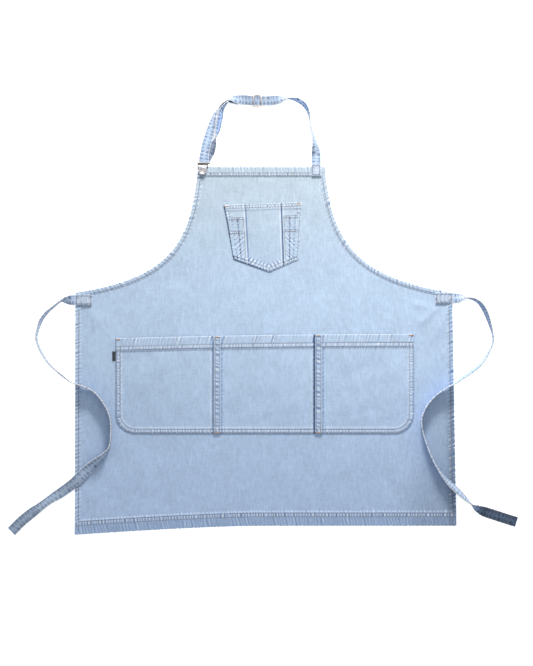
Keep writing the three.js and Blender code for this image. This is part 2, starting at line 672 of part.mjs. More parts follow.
const tieRightRoute = [
  [395.5, 29, 0, onHem],
  [404, 29, -20, 2],
  [413.5, 30, -55, 0.5],
  [423, 30, -88, 0],
  [435.5, 28, -97, 0],
  [448.5, 21.5, -103, 0],
  [459, 9, -109, 0],
  [467, -7.5, -108, 0],
  [473, -25.5, -101, 0],
  [477.5, -42, -92, 0],
  [479.5, -57, -90, 0],
  [476.5, -70.5, -90, 0],
  [469, -85, -94, 0],
  [460, -101, -97, 0],
  [447, -115.5, -100, 0],
  [429.5, -128.5, -101, 0],
  [412.5, -140, -98, 1],
  [400, -149.5, -93, onHem],
  [383, -158.5, -90, onEdgeHem],
  [360, -174.5, -90, onPanel],
  [341, -195.5, -90, onPanel],
  [332, -213.5, -90, onPanel],
  [328.5, -227, -90, onPanel],
  [330.5, -246, -90, onPanel],
  [336, -267, -90, onPanel],
  [345.5, -294, -90, onPanel],
  [359.5, -322.5, -86, onPanel],
  [376, -346.5, -74, onEdgeHem],
  [390.5, -362.5, -62, onEdgeHem],
  [404, -375, -60, onHem],
  [420, -390, -70, 0.5],
  [434, -403, -92, 0],
  [448.5, -413, -135, 0],
  [464, -420, -170, 0],
  [482, -426, -180, 0],
  [505, -433.5, -180, 0],
  [529, -441, -180, 0],
];
piece("waist_tie_left", strap(tieLeftRoute, tieWidth, tieThickness), denimStrap);
piece("waist_tie_right", strap(tieRightRoute, tieWidth, tieThickness), denimStrap);

// The neck strap runs up from the bib's right, through the slider and down to the buckle.
const overReturn = stacked;
const neckRoute = [
  [108.5, 309.5, 0, onHem],
  [108.5, 318, 0, 1.8],
  [108.5, 329.5, 8, 0.3],
  [107.5, 339, 30, 0],
  [106, 352.5, 60, 0],
  [102.5, 369.5, 75, 0],
  [98, 386, 86, 0],
  [95.5, 404, 92, 0],
  [92, 421, 103, 0],
  [84, 434.5, 113, 0],
  [72.5, 443, 113, 0],
  [61, 447, 102, 0],
  [50.5, 448, 90, 0],
  [40, 447.3, 62, 0],
  [29, 445.5, 30, 0.3],
  [17.5, 444, 7, 1.6],
  [6.5, 443.5, 0, overReturn],
  [-4, 443.5, 0, overReturn],
  [-15, 443.5, 0, overReturn],
  [-30.5, 444, 0, overReturn],
  [-45, 445, 0, overReturn],
  [-59, 446, 24, overReturn + 0.6],
  [-70.5, 446.5, 64, 2],
  [-81, 442.5, 88, 0],
  [-91.5, 433.5, 92, 0],
  [-100, 423, 80, 0],
  [-105, 410.5, 62, 0],
  [-109, 396.5, 45, 0],
  [-113, 382, 30, 1],
  [-118, 365, 18, 2],
  [-122.5, 348.5, 14, 3],
  [-126, 331.5, 4, 4],
  [-128, 314.6, 0, 4],
];
// Its free end comes back from the buckle to the slider, behind the first run.
const returnRoute = [
  [-26, 443.5, 0, 0],
  [-36, 446, 0, 0],
  [-47, 446.5, 0, 0],
  [-58.5, 444.6, 15, 0],
  [-69, 441.5, 54, 0],
  [-78.8, 438.5, 92, 0],
  [-87, 429.5, 105, 0],
  [-91.5, 419, 115, 0],
  [-92.5, 409, 122, 0],
  [-94.5, 400, 122, 0],
  [-97.5, 384, 120, 0],
  [-102, 366, 90, 0],
  [-108, 348.5, 45, 0],
  [-115.5, 334, 10, 0],
  [-120.5, 325.5, 2, 0.1],
  [-123, 317.5, 0, gap],
];
piece("neck_strap", strap(neckRoute, strapWidth, strapThickness), denimStrap);
piece("neck_strap_return", strap(returnRoute, strapWidth, strapThickness), denimStrap);

// ---- jeans button: a nail through the hem, held in the cap's core ----
const capSeat = onHem + buckleWire + 2 * gap;
const nailTop = capSeat + buttonHeight / 2;
const tack = solid(upright(tackRadius, buttonX, buttonY, gap, gap + tackThickness))
  .add(solid(upright(nailRadius, buttonX, buttonY, gap, nailTop, 16)));
piece("button_tack", geometryOf(tack), pewter);
const coreRadius = buttonStemRadius - 2 * runningClearance - 0.6;
const core = upright(coreRadius, buttonX, buttonY, onHem, nailTop + gap + runningClearance);
const nailHole = upright(nailRadius + runningClearance, buttonX, buttonY, 0, nailTop + runningClearance, 16);
piece("button_core", geometryOf(solid(core).subtract(solid(nailHole))), blackCloth);
const capProfile = [
  [0, 0.93],
  [0.45, 0.97],
  [0.62, 1],
  [0.8, 0.95],
  [0.94, 0.72],
  [1, 0.4],
  [0.97, 0.08],
  [0.9, 0],
  [0, 0],
].map(([r, z]) => new THREE.Vector2(r * buttonRadius, z * buttonHeight));
const capBody = new THREE.LatheGeometry(capProfile.toReversed(), 32).rotateX(Math.PI / 2);
capBody.translate(buttonX, buttonY, capSeat);
const stem = upright(buttonStemRadius, buttonX, buttonY, onHem, capSeat + 1);
const coreTop = nailTop + 2 * gap + runningClearance;
const coreHole = upright(coreRadius + gap, buttonX, buttonY, 0, coreTop);
const cap = solid(capBody).add(solid(stem)).subtract(solid(coreHole));
piece("button_cap", geometryOf(cap), pewter);

// ---- dungaree buckle: a wire hooked round the stem, with a curled bar that the strap turns on ----
const wireHalf = buckleWidth / 2 - buckleWire;
const wirePoints = [
  [-wireHalf, buckleBarRise],
  [wireHalf, buckleBarRise],
  [wireHalf + 0.6, buckleBarRise - 4],
  [buckleLoopRadius + 0.6, 3.5],
  [buckleLoopRadius, -1.5],
  [buckleLoopRadius * 0.62, -buckleLoopRadius * 0.95],
  [0, -buckleLoopRadius * 1.2],
  [-buckleLoopRadius * 0.62, -buckleLoopRadius * 0.95],
  [-buckleLoopRadius, -1.5],
  [-buckleLoopRadius - 0.6, 3.5],
  [-wireHalf - 0.6, buckleBarRise - 4],
].map(([dx, dy]) => new THREE.Vector3(buttonX + dx, buttonY + dy, wireZ));
const wireCurve = new THREE.CatmullRomCurve3(wirePoints, true, "catmullrom", 0.35);
piece("buckle_wire", new THREE.TubeGeometry(wireCurve, 72, buckleWire / 2, 8, true), bronze);

// The bar lies over the strap's fold, and its ends curl forward.
const barX = buttonX + buckleBarOffset;
const barY = buckleBarY + buckleWire / 2;
const barZ = onHem + buckleWire + gap;
const barHalf = strapWidth / 2 + buckleCurlRadius + gap;
const barShape = shapeOf([
  [-barHalf, 0],
  [barHalf, 0],
  [barHalf, buckleBarThickness],
  [-barHalf, buckleBarThickness],
]);
const barPlate = new THREE.ExtrudeGeometry(barShape, { depth: buckleBarHeight, bevelEnabled: false });
barPlate.rotateX(Math.PI / 2).translate(barX, barY + buckleBarHeight, barZ);
const curlZ = barZ + buckleCurlRadius;
const curl = (side) => {
  const roll = new THREE.CylinderGeometry(buckleCurlRadius, buckleCurlRadius, buckleBarHeight, 16);
  return solid(roll.translate(barX + side * barHalf, barY + buckleBarHeight / 2, curlZ));
};
const bar = solid(barPlate).add(curl(-1)).add(curl(1));
piece("buckle_bar", geometryOf(bar), bronze);

// ---- slider: side plates joined by two end bars, with a loose pin under the strap ----
const sliderInside = strapWidth / 2 + 2 * gap + 1;
const sliderHigh = overReturn + strapThickness + gap;
const plateHeight = sliderHigh + sliderEndBar;
function block(width, depth, low, high, x, y) {
  const body = new THREE.BoxGeometry(width, depth, high - low);
  return solid(body.translate(x, y, (low + high) / 2));
}
const pinZ = gap + sliderPin / 2;
const pinLength = 2 * (sliderInside + sliderPlate + sliderPinReach);
function pinRod(radius, length) {
  return new THREE.CylinderGeometry(radius, radius, length, 16).translate(sliderX, sliderY, pinZ);
}
let sliderFrame = null;
for (const side of [-1, 1]) {
  const y = sliderY + side * (sliderInside + sliderPlate / 2);
  const plate = block(sliderLength, sliderPlate, gap / 2, plateHeight, sliderX, y);
  sliderFrame = sliderFrame ? sliderFrame.add(plate) : plate;
}
for (const side of [-1, 1]) {
  const x = sliderX + side * (sliderLength / 2 - sliderEndBar / 2);
  const endBar = block(sliderEndBar, 2 * sliderInside + 1, sliderHigh, plateHeight, x, sliderY);
  sliderFrame = sliderFrame.add(endBar);
}
sliderFrame = sliderFrame.subtract(solid(pinRod(sliderPin / 2 + runningClearance, pinLength)));
piece("slider_frame", geometryOf(sliderFrame), bronze);
piece("slider_pin", pinRod(sliderPin / 2, pinLength), pewter);

export default apron;
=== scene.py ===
import math
import bpy
import numpy as np
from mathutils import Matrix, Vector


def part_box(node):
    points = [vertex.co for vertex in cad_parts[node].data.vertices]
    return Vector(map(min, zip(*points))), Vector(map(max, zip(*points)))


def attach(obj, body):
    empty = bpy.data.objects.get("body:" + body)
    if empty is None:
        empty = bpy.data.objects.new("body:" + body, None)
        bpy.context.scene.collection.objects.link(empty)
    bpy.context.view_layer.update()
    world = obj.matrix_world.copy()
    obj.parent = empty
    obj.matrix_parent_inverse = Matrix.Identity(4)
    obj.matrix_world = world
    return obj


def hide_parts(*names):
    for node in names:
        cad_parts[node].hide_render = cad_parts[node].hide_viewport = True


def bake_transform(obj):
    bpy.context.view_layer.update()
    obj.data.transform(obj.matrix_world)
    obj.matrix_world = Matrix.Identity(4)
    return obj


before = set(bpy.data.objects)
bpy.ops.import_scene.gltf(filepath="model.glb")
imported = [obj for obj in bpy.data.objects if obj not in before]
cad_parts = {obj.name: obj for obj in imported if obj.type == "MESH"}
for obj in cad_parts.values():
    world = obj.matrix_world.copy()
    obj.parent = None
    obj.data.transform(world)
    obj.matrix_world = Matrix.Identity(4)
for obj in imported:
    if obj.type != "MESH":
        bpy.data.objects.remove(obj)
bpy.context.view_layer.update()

# The denim smock apron, lying flat and face up. Lengths are in millimetres until a mesh is made.
MM = 0.001


# ---- small tools ----
def smooth(x, low, high):
    t = np.clip((np.asarray(x, dtype=float) - low) / (high - low), 0, 1)
    return t * t * (3 - 2 * t)


def mix(a, b, t):
    t = np.asarray(t, dtype=float)[..., None]
    return a * (1 - t) + b * t


def ridge(x, width):
    """1 at 0, falling smoothly away on both sides."""
    return np.exp(-((x / width) ** 2))


def noise1(s, period, seed):
    """Smooth noise along a line, mostly within -1 to 1."""
    rng = np.random.default_rng(seed)
    total = np.zeros_like(np.asarray(s, dtype=float))
    for _ in range(6):
        total += np.sin(2 * math.pi * s * rng.uniform(0.55, 1.7) / period + rng.uniform(0, 2 * math.pi))
    return total / 2.6


def pucker(s, seed, period=8.5):
    """The gathers that a row of stitches pulls into a washed seam."""
    phase = 2 * math.pi * s / period + 1.6 * noise1(s, period * 5, seed)
    return np.sin(phase) * np.clip(0.72 + 0.4 * noise1(s, period * 3.3, seed + 1), 0.15, 1.2)


def box_of(node):
    """A CAD node's lowest and highest corners in millimetres."""
    return (np.array(corner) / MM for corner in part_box(node))


def unit(v):
    return v / np.maximum(np.linalg.norm(v, axis=-1, keepdims=True), 1e-9)


def arc(points):
    steps = np.linalg.norm(np.diff(points, axis=0), axis=1)
    return np.concatenate([[0], np.cumsum(steps)])


def along(points, s):
    """Points at the lengths s along a polyline."""
    reach = arc(points)
    return np.stack([np.interp(s, reach, points[:, k]) for k in range(points.shape[1])], axis=-1)


def resample(points, step):
    points = np.asarray(points, dtype=float)
    length = arc(points)[-1]
    return along(points, np.linspace(0, length, max(2, int(round(length / step)) + 1)))


def left_of(points):
    """Unit normals to the left of a flat polyline."""
    run = unit(np.gradient(points[:, :2], axis=0))
    return np.stack([-run[:, 1], run[:, 0]], axis=-1)


def nearest(x, y, line):
    """Distance from each point to a polyline, and the length along it of the nearest place."""
    a, b = line[:-1], line[1:]
    reach = arc(line)
    best = np.full(x.shape, 1e9)
    place = np.zeros(x.shape)
    for i in range(len(a)):
        run = b[i] - a[i]
        size = max(np.hypot(*run), 1e-9)
        t = np.clip(((x - a[i, 0]) * run[0] + (y - a[i, 1]) * run[1]) / size**2, 0, 1)
        gap = np.hypot(x - a[i, 0] - t * run[0], y - a[i, 1] - t * run[1])
        closer = gap < best
        best = np.where(closer, gap, best)
        place = np.where(closer, reach[i] + t * size, place)
    return best, place


# ---- meshes ----
def signed_volume(points, faces):
    total = 0
    for group in faces:
        for k in range(1, group.shape[1] - 1):
            a, b, c = points[group[:, 0]], points[group[:, k]], points[group[:, k + 1]]
            total += np.einsum("ij,ij->i", a, np.cross(b, c)).sum()
    return total


def make(name, points, faces, material, tint=None, body="root", sharp=50, node=None, slot=None):
    """A smooth-shaded mesh object from points in millimetres and lists of faces, riding on a body.

    node is the CAD node that it stands for; slot, the record's material slot, is not used.
    """
    points = np.asarray(points, dtype=float).reshape(-1, 3)
    faces = [np.asarray(group, dtype=int) for group in faces if len(group)]
    if signed_volume(points - points.mean(axis=0), faces) < 0:
        faces = [group[:, ::-1] for group in faces]
    mesh = bpy.data.meshes.new(name)
    mesh.vertices.add(len(points))
    mesh.vertices.foreach_set("co", (points * MM).ravel())
    corners = np.concatenate([group.ravel() for group in faces])
    sizes = np.concatenate([np.full(len(group), group.shape[1]) for group in faces])
    mesh.loops.add(len(corners))
    mesh.loops.foreach_set("vertex_index", corners)
    mesh.polygons.add(len(sizes))
    mesh.polygons.foreach_set("loop_start", np.concatenate([[0], np.cumsum(sizes)[:-1]]))
    mesh.polygons.foreach_set("use_smooth", np.ones(len(sizes), dtype=bool))
    mesh.update(calc_edges=True)
    mesh.validate()
    if sharp:
        mesh.set_sharp_from_angle(angle=math.radians(sharp))
    if tint is not None:
        colours = np.ones((len(points), 4))
        colours[:, :3] = np.asarray(tint, dtype=float).reshape(-1, 3)
        layer = mesh.color_attributes.new(name="tint", type="FLOAT_COLOR", domain="POINT")
        layer.data.foreach_set("color", colours.ravel())
    mesh.materials.append(material)
    piece = bpy.data.objects.new(name, mesh)
    bpy.context.scene.collection.objects.link(piece)
    if body:
        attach(piece, body)
    if node:
        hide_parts(node)
    return piece


def sheet(name, x, y, top, under, material, colour, back=None, **more):
    """A closed sheet from grids of its plan, top and underside, with the colours of its face and back."""
    points, faces = shell(np.stack([x, y, top], axis=-1), np.stack([x, y, under], axis=-1))
    back = colour if back is None else back
    tint = np.concatenate([colour.reshape(-1, 3), back.reshape(-1, 3)])
    return make(name, points, faces, material, tint, **more)


def grid_faces(rows, columns, wrap=False, start=0):
    i, j = np.meshgrid(np.arange(rows - 1), np.arange(columns if wrap else columns - 1), indexing="ij")
    k = (j + 1) % columns
    at = lambda r, c: (start + r * columns + c).ravel()
    return np.stack([at(i, j), at(i, k), at(i + 1, k), at(i + 1, j)], axis=-1)


def shell(top, under):
    """Points and faces of a closed sheet from two grids of the same shape."""
    rows, columns = top.shape[:2]
    count = rows * columns
    upper = grid_faces(rows, columns)
    lower = grid_faces(rows, columns, start=count)[:, ::-1]
    index = np.arange(count).reshape(rows, columns)
    rim = np.concatenate([index[0, :], index[1:, -1], index[-1, -2::-1], index[-2:0:-1, 0]])
    after = np.roll(rim, -1)
    sides = np.stack([rim, rim + count, after + count, after], axis=-1)
    return np.concatenate([top.reshape(-1, 3), under.reshape(-1, 3)]), [upper, lower, sides]


def tube(rings):
    """Points and faces of a closed bar from rings that run over the top and back under the bottom."""
    rows, columns = rings.shape[:2]
    sides = grid_faces(rows, columns, wrap=True)
    caps = []
    for first in (0, (rows - 1) * columns):
        for k in range(columns // 2 - 1):
            caps.append([first + k, first + k + 1, first + columns - 2 - k, first + columns - 1 - k])
    return rings.reshape(-1, 3), [sides, np.array(caps)]


def capsules(starts, ends, ups, radius):
    """Points and faces of many short rounded threads, each from a start to an end, dipping at both."""
    sides = 6
    share = np.array([0, 0.12, 0.5, 0.88, 1])
    fat = np.array([0.3, 0.85, 1, 0.85, 0.3]) * radius
    lift = np.array([-1.0, 0.1, 0.5, 0.1, -1.0]) * radius
    centre = starts[:, None] * (1 - share[:, None]) + ends[:, None] * share[:, None]
    run = unit(ends - starts)
    across = unit(np.cross(ups, run))
    up = np.cross(run, across)
    angle = np.arange(sides) * 2 * math.pi / sides
    centre = centre + up[:, None] * lift[:, None]
    ring = across[:, None] * np.cos(angle)[:, None] + up[:, None] * np.sin(angle)[:, None]
    points = centre[:, :, None] + ring[:, None] * fat[None, :, None, None]
    block = len(share) * sides
    quads = grid_faces(len(share), sides, wrap=True)
    caps = np.stack([np.arange(sides)[::-1], np.arange(sides) + block - sides])
    shift = (np.arange(len(starts)) * block)[:, None, None]
    return points.reshape(-1, 3), [(quads + shift).reshape(-1, 4), (caps + shift).reshape(-1, sides)]


def joined(parts):
    """One set of points and faces from several."""
    points, faces, count = [], [], 0
    for p, groups in parts:
        points.append(p)
        faces.extend(group + count for group in groups)
        count += len(p)
    return np.concatenate(points), faces


# ---- camera and light ----
view_centre = (4.15, -44.3)
view_height = 1398.6  # what the frame's height takes in on the table
camera_height = 6000
camera_data = bpy.data.cameras.new("camera")
camera_data.sensor_fit = "VERTICAL"
camera_data.angle_y = 2 * math.atan(view_height / 2 / camera_height)
camera = bpy.data.objects.new("camera", camera_data)
camera.location = (view_centre[0] * MM, view_centre[1] * MM, camera_height * MM)
bpy.context.scene.collection.objects.link(camera)
bpy.context.scene.camera = camera
bpy.context.scene.view_settings.view_transform = "Standard"

world = bpy.data.worlds.new("studio")
world.use_nodes = True
world.node_tree.nodes["Background"].inputs["Color"].default_value = (0.9, 0.95, 1, 1)
world.node_tree.nodes["Background"].inputs["Strength"].default_value = 0.66
bpy.context.scene.world = world


def softbox(name, aim, azimuth, elevation, distance, size, power, colour):
    light = bpy.data.lights.new(name, "AREA")
    light.shape = "DISK"
    light.size = size * MM
    light.energy = power
    light.color = colour
    lamp = bpy.data.objects.new(name, light)
    a, e = math.radians(azimuth), math.radians(elevation)
    way = np.array([math.cos(a) * math.cos(e), math.sin(a) * math.cos(e), math.sin(e)])
    lamp.location = (np.array(aim) + way * distance) * MM
    lamp.rotation_euler = (math.pi / 2 - e, 0, a + math.pi / 2)
    bpy.context.scene.collection.objects.link(lamp)
    return lamp


softbox("key", (0, 0, 0), 82, 29, 1650, 440, 38.5, (1, 0.97, 0.93))


# ---- materials ----
class Surface:
    """A material in the making: short ways to add nodes and to set its shader."""

    def __init__(self, name, textured=True):
        self.material = bpy.data.materials.new(name)
        self.material.use_nodes = True
        self.tree = self.material.node_tree
        self.shader = self.tree.nodes["Principled BSDF"]
        self.place = self.add("TexCoord", output="Object") if textured else None

    def feed(self, sockets, inputs):
        """Sets each named input to a value, or links it to another node's output."""
        for name, value in inputs.items():
            if isinstance(value, bpy.types.NodeSocket):
                self.tree.links.new(value, sockets[name])
            else:
                sockets[name].default_value = value

    def add(self, kind, inputs=None, output=0, **settings):
        node = self.tree.nodes.new("ShaderNode" + kind)
        for name, value in settings.items():
            setattr(node, name, value)
        self.feed(node.inputs, inputs or {})
        return node.outputs[output]

    def set(self, **inputs):
        """Sets the shader's inputs, named with _ for a space."""
        self.feed(self.shader.inputs, {name.replace("_", " "): value for name, value in inputs.items()})

    def ramp(self, source, low, high, out_low, out_high):
        limits = {"From Min": low, "From Max": high, "To Min": out_low, "To Max": out_high}
        return self.add("MapRange", {"Value": source, **limits}, "Result")

    def noise(self, scale, detail=2, roughness=0.5, stretch=(1, 1, 1)):
        vector = self.add("Mapping", {"Vector": self.place, "Scale": stretch})
        inputs = {"Vector": vector, "Scale": scale, "Detail": detail, "Roughness": roughness}
        return self.add("TexNoise", inputs, "Fac")

    def math(self, operation, a, b):
        return self.add("Math", {0: a, 1: b}, operation=operation)

    def total(self, *values):
        level = values[0]
        for value in values[1:]:
            level = self.math("ADD", level, value)
        return level

    def blend(self, factor, a, b):
        return self.add("Mix", {"Factor": factor, "A": (*a, 1), "B": (*b, 1)}, "Result", data_type="RGBA")

    def bump(self, height, strength, distance):
        inputs = {"Height": height, "Strength": strength, "Distance": distance}
        self.set(Normal=self.add("Bump", inputs, "Normal"))


def cloth_material(name, grain=1.0, blotch=1.0):
    """Washed twill: the tint laid on the mesh, broken by slubs, blotches and the weave's own relief."""
    surface = Surface(name)
    slub = surface.noise(420, 3, 0.65, (1, 0.16, 1))
    fine = surface.noise(900, 2, 0.5)
    level = surface.total(
        surface.ramp(slub, 0.3, 0.7, -0.1 * grain, 0.1 * grain),
        surface.ramp(surface.noise(380, 2, 0.6, (0.2, 1, 1)), 0.3, 0.7, -0.05 * grain, 0.05 * grain),
        surface.ramp(surface.noise(28, 4, 0.6), 0.3, 0.7, -0.045 * blotch, 0.045 * blotch),
        surface.ramp(surface.noise(120, 3, 0.6, (1, 0.55, 1)), 0.3, 0.7, -0.04 * blotch, 0.04 * blotch),
        surface.ramp(fine, 0.25, 0.75, -0.06 * grain, 0.06 * grain),
        1.0,
    )
    tint = surface.add("Attribute", output="Color", attribute_name="tint")
    surface.set(Base_Color=surface.add("VectorMath", {0: tint, "Scale": level}, operation="SCALE"))
    # Twill: fine ribs that climb to the right, with the slubs' own relief over them.
    turned_place = surface.add("Mapping", {"Vector": surface.place, "Rotation": (0, 0, math.radians(-60))})
    waves = {"Vector": turned_place, "Scale": 260, "Distortion": 1.5, "Detail": 1, "Detail Scale": 2}
    rib = surface.add("TexWave", waves, "Fac", wave_type="BANDS")
    surface.bump(surface.total(surface.math("MULTIPLY", rib, 0.55), slub, fine), 0.55, 0.0003)
    surface.set(Roughness=surface.ramp(slub, 0.3, 0.7, 0.84, 0.96), Specular_IOR_Level=0.25,
                Sheen_Weight=0.08, Sheen_Roughness=0.6)
    return surface.material


def thread_material(name, colour, pale):
    """Twisted cotton: a diagonal twist along each stitch and some worn fibres."""
    surface = Surface(name)
    fibre = surface.noise(2200, 2, 0.6)
    wear = surface.ramp(surface.noise(160, 3, 0.6), 0.35, 0.65, 0, 1)
    surface.set(Base_Color=surface.blend(wear, colour, pale), Sheen_Weight=0.2,
                Roughness=surface.ramp(fibre, 0.3, 0.7, 0.55, 0.8))
    surface.bump(fibre, 0.5, 0.0001)
    return surface.material


def metal_material(name, colour, tarnish, roughness):
    """Plated metal, darker in patches and rubbed bright in others."""
    surface = Surface(name)
    patch = surface.noise(420, 4, 0.6)
    surface.set(Base_Color=surface.blend(surface.ramp(patch, 0.38, 0.6, 0, 1), tarnish, colour), Metallic=1,
                Roughness=surface.ramp(patch, 0.3, 0.7, roughness + 0.14, roughness))
    surface.bump(surface.noise(3000, 2, 0.6), 0.3, 0.00008)
    return surface.material


def tape_material(name):
    """Black woven tape with a little dust."""
    surface = Surface(name)
    dust = surface.ramp(surface.noise(500, 3), 0.4, 0.75, 0, 1)
    weave = surface.add("TexWave", {"Vector": surface.place, "Scale": 520}, "Fac", bands_direction="Y")
    surface.set(Base_Color=surface.blend(dust, (0.012, 0.013, 0.016), (0.06, 0.065, 0.075)),
                Roughness=0.75, Sheen_Weight=0.15)
    surface.bump(weave, 0.6, 0.0001)
    return surface.material


denim = cloth_material("denim_washed")
strap_denim = cloth_material("denim_strap_washed", grain=1.2, blotch=1.2)
tan_thread = thread_material("thread_tan", (0.14, 0.105, 0.085), (0.26, 0.2, 0.17))
orange_thread = thread_material("thread_orange", (0.45, 0.25, 0.12), (0.5, 0.34, 0.22))
pewter = metal_material("pewter", (0.88, 0.84, 0.84), (0.3, 0.27, 0.27), 0.3)
bronze = metal_material("bronze", (0.3, 0.25, 0.23), (0.1, 0.08, 0.07), 0.36)
slider_metal = metal_material("bronze_pale", (0.68, 0.61, 0.55), (0.4, 0.34, 0.3), 0.42)

# Denim's colours: paler towards the bib, worn white on raised edges, deep blue in the creases and in painted
# shade.
bib_blue = np.array([0.358, 0.433, 0.502])
waist_blue = np.array([0.402, 0.512, 0.662])
skirt_blue = np.array([0.364, 0.468, 0.644])
worn_white = np.array([0.62, 0.67, 0.74])
crease_and_shade_blue = np.array([0.1, 0.17, 0.33])
navy = np.array([0.035, 0.055, 0.12])
back_blue = np.array([0.1, 0.145, 0.23])
cream_edge = np.array([0.64, 0.62, 0.6])
seam_gain = 1.6  # how strongly washing has marked the seams, and how deep their painted shade is


def base_colour(x, y):
    upper = smooth(y, 0, 320)
    lower = smooth(-y, -10, 420)
    colour = mix(np.broadcast_to(waist_blue, (*np.shape(x), 3)), bib_blue, upper)
    # Painted light: above the lower skirt the cloth is up to 5% lighter towards the right and darker towards
    # the left, as if lit more from the right.
    painted_light_and_shade = 1 + 0.05 * np.clip(x / 260, -1, 1) * smooth(y, -380, -200)
    # Painted shade: the strip under and beside the right tie is darkened like the tie's shadow, and more so
    # towards its hem.
    tie_shadow = smooth(x - 0.25 * (y + 300), 285, 385) * smooth(-y, 150, 215)
    painted_light_and_shade = painted_light_and_shade * (1 - 0.24 * tie_shadow - 0.24 * tie_shadow * smooth(x, 380, 392))
    return mix(colour, skirt_blue, lower) * painted_light_and_shade[..., None]


def back_of(colour):
    """The colour of the same cloth's wrong side."""
    return mix(colour, back_blue, np.full(colour.shape[:-1], 0.55))


def worn_and_shaded(colour, wear_and_shade):
    """A colour worn towards white where wear_and_shade is above 0.

    Where it is below 0 it goes towards deep blue and then navy, for creases and for painted shade.
    """
    wear_and_shade = seam_gain * np.asarray(wear_and_shade, dtype=float)
    colour = mix(colour, worn_white, np.clip(wear_and_shade, 0, 1))
    colour = mix(colour, crease_and_shade_blue, np.clip(-wear_and_shade, 0, 1))
    return mix(colour, navy, np.clip(-wear_and_shade - 1, 0, 1))


# ---- the panel's outline ----
cloth, hem_thickness, seam_thickness = 0.9, 2.7, 3.6
gap = 0.3
on_cloth, on_hem = cloth + gap, hem_thickness + gap
bib_top_y, side_corner_y, hem_y = 305, 41, -449
side_left_x, side_right_x = -397, 394
bib_left_x, bib_right_x = -140, 127
bottom_left, bottom_right = (-398.5, -468), (403, -449)
edge_hem, bib_hem, bottom_hem = 10.5, 21, 30


def bezier(points, count):
    t = np.linspace(0, 1, count)[:, None]
    points = [np.array(p, dtype=float) for p in points]
    while len(points) > 1:
        points = [a * (1 - t) + b * t for a, b in zip(points, points[1:])]
    return points[0]


def armhole(side):
    top = (bib_left_x if side < 0 else bib_right_x, bib_top_y)
    corner = (side_left_x if side < 0 else side_right_x, side_corner_y)
    a, b = math.radians(5), math.radians(8.7)
    top_handle = (top[0] + side * 157 * math.sin(a), top[1] - 157 * math.cos(a))
    side_handle = (corner[0] - side * 207 * math.cos(b), corner[1] + 207 * math.sin(b))
    return bezier([top, top_handle, side_handle, corner], 200)


dip_curve = bezier([bottom_left, (-119, hem_y), (0, hem_y)], 80)
edges = {
    "top": np.array([[bib_right_x, bib_top_y], [bib_left_x, bib_top_y]], dtype=float),
    "armhole_left": armhole(-1),
    "side_left": np.array([[side_left_x, side_corner_y], bottom_left], dtype=float),
    "bottom": np.concatenate([dip_curve, [bottom_right]]),
    "side_right": np.array([bottom_right, [side_right_x, side_corner_y]], dtype=float),
    "armhole_right": armhole(1)[::-1],
}
edges = {name: resample(line, 1.5) for name, line in edges.items()}

# ---- how the cloth lies: low swells and a few soft folds ----
swell_rng = np.random.default_rng(11)
swells = [
    (swell_rng.uniform(0, math.pi), swell_rng.uniform(55, 190), swell_rng.uniform(0, 2 * math.pi))
    for _ in range(26)
]
folds = [  # start, end, half width and height of each soft fold
    ((366, 12), (318, -34), 8, 2.6),
    ((352, 6), (300, 22), 7, 1.8),
    ((384, 6), (352, -70), 7, 2.6),
    ((372, 8), (338, -62), 6, 1.4),
    ((-372, 10), (-340, -40), 10, 1.2),
    ((330, 60), (262, 84), 8, 1.4),
]


def lie(x, y):
    """Height of the cloth's underside above the table."""
    height = np.zeros(np.shape(x))
    for angle, wavelength, phase in swells:
        way = x * math.cos(angle) + y * math.sin(angle)
        height += wavelength / 150 * np.sin(2 * math.pi * way / wavelength + phase)
    height = 0.75 + 0.13 * height
    for (x0, y0), (x1, y1), half, rise in folds:
        run = np.array([x1 - x0, y1 - y0])
        t = np.clip(((x - x0) * run[0] + (y - y0) * run[1]) / (run @ run), 0, 1)
        away = np.hypot(x - x0 - t * run[0], y - y0 - t * run[1])
        height += rise * ridge(away, half) * np.sin(math.pi * (0.15 + 0.85 * t))
    calm = 1 - smooth(y, 225, 285)
    return np.maximum(height, 0) * calm


def seam_field(s, d, rows, seed, period=8.0, skew=0.15, depth=0.5, edge=0.35, line=0.22, pale=0.12):
    """Relief, and wear with painted shade, of a sewn edge: d is the distance in from the edge and rows are
    where stitches run.
    """
    # Across the widest hem the gathers wander and fade towards the edge; across the others they run straight.
    wander = smooth(rows[0], 17.8, 18.8)
    drift = wander * 0.45 * noise1(d + 0.3 * s, 26, seed + 9)
    weight = 1 - wander * 0.75 * (1 - np.clip(d / rows[0], 0, 1)) ** 0.8
    gathers = pucker(s + skew * d + drift, seed, period) * weight
    first = np.clip(d / rows[0], 0, 1)
    rim = np.where(d < rows[0], np.cos(math.pi / 2 * first) ** 0.6, 0)
    between = np.zeros(np.shape(d + gathers))
    for a, b in zip(rows, rows[1:]):
        inside = (d >= a) & (d < b)
        between = np.where(inside, np.sin(math.pi * np.clip((d - a) / (b - a), 0, 1)), between)
    past = np.maximum(d - rows[-1], 0) / 2.6
    beyond = np.where(d >= rows[-1], past * np.exp(1 - past), 0)
    groove = sum(ridge(d - row, 0.75) for row in rows)
    dots = pucker(s, seed + 2, period * 0.92)
    patchy = 0.6 + 0.4 * noise1(s, 70, seed + 4)
    relief = depth * (rim * gathers + 0.9 * between * dots + 0.35 * beyond * gathers) - 0.4 * groove
    wear_and_shade = rim * (0.6 * gathers + 0.04) * patchy + between * (0.7 * dots + pale) + 0.26 * beyond * gathers
    # Painted shade: line darkens the cloth along each row of stitches, as shadow in its groove.
    wear_and_shade = wear_and_shade - line * groove + edge * ridge(d, 1.3) * (0.6 + 0.6 * gathers)
    return relief, wear_and_shade


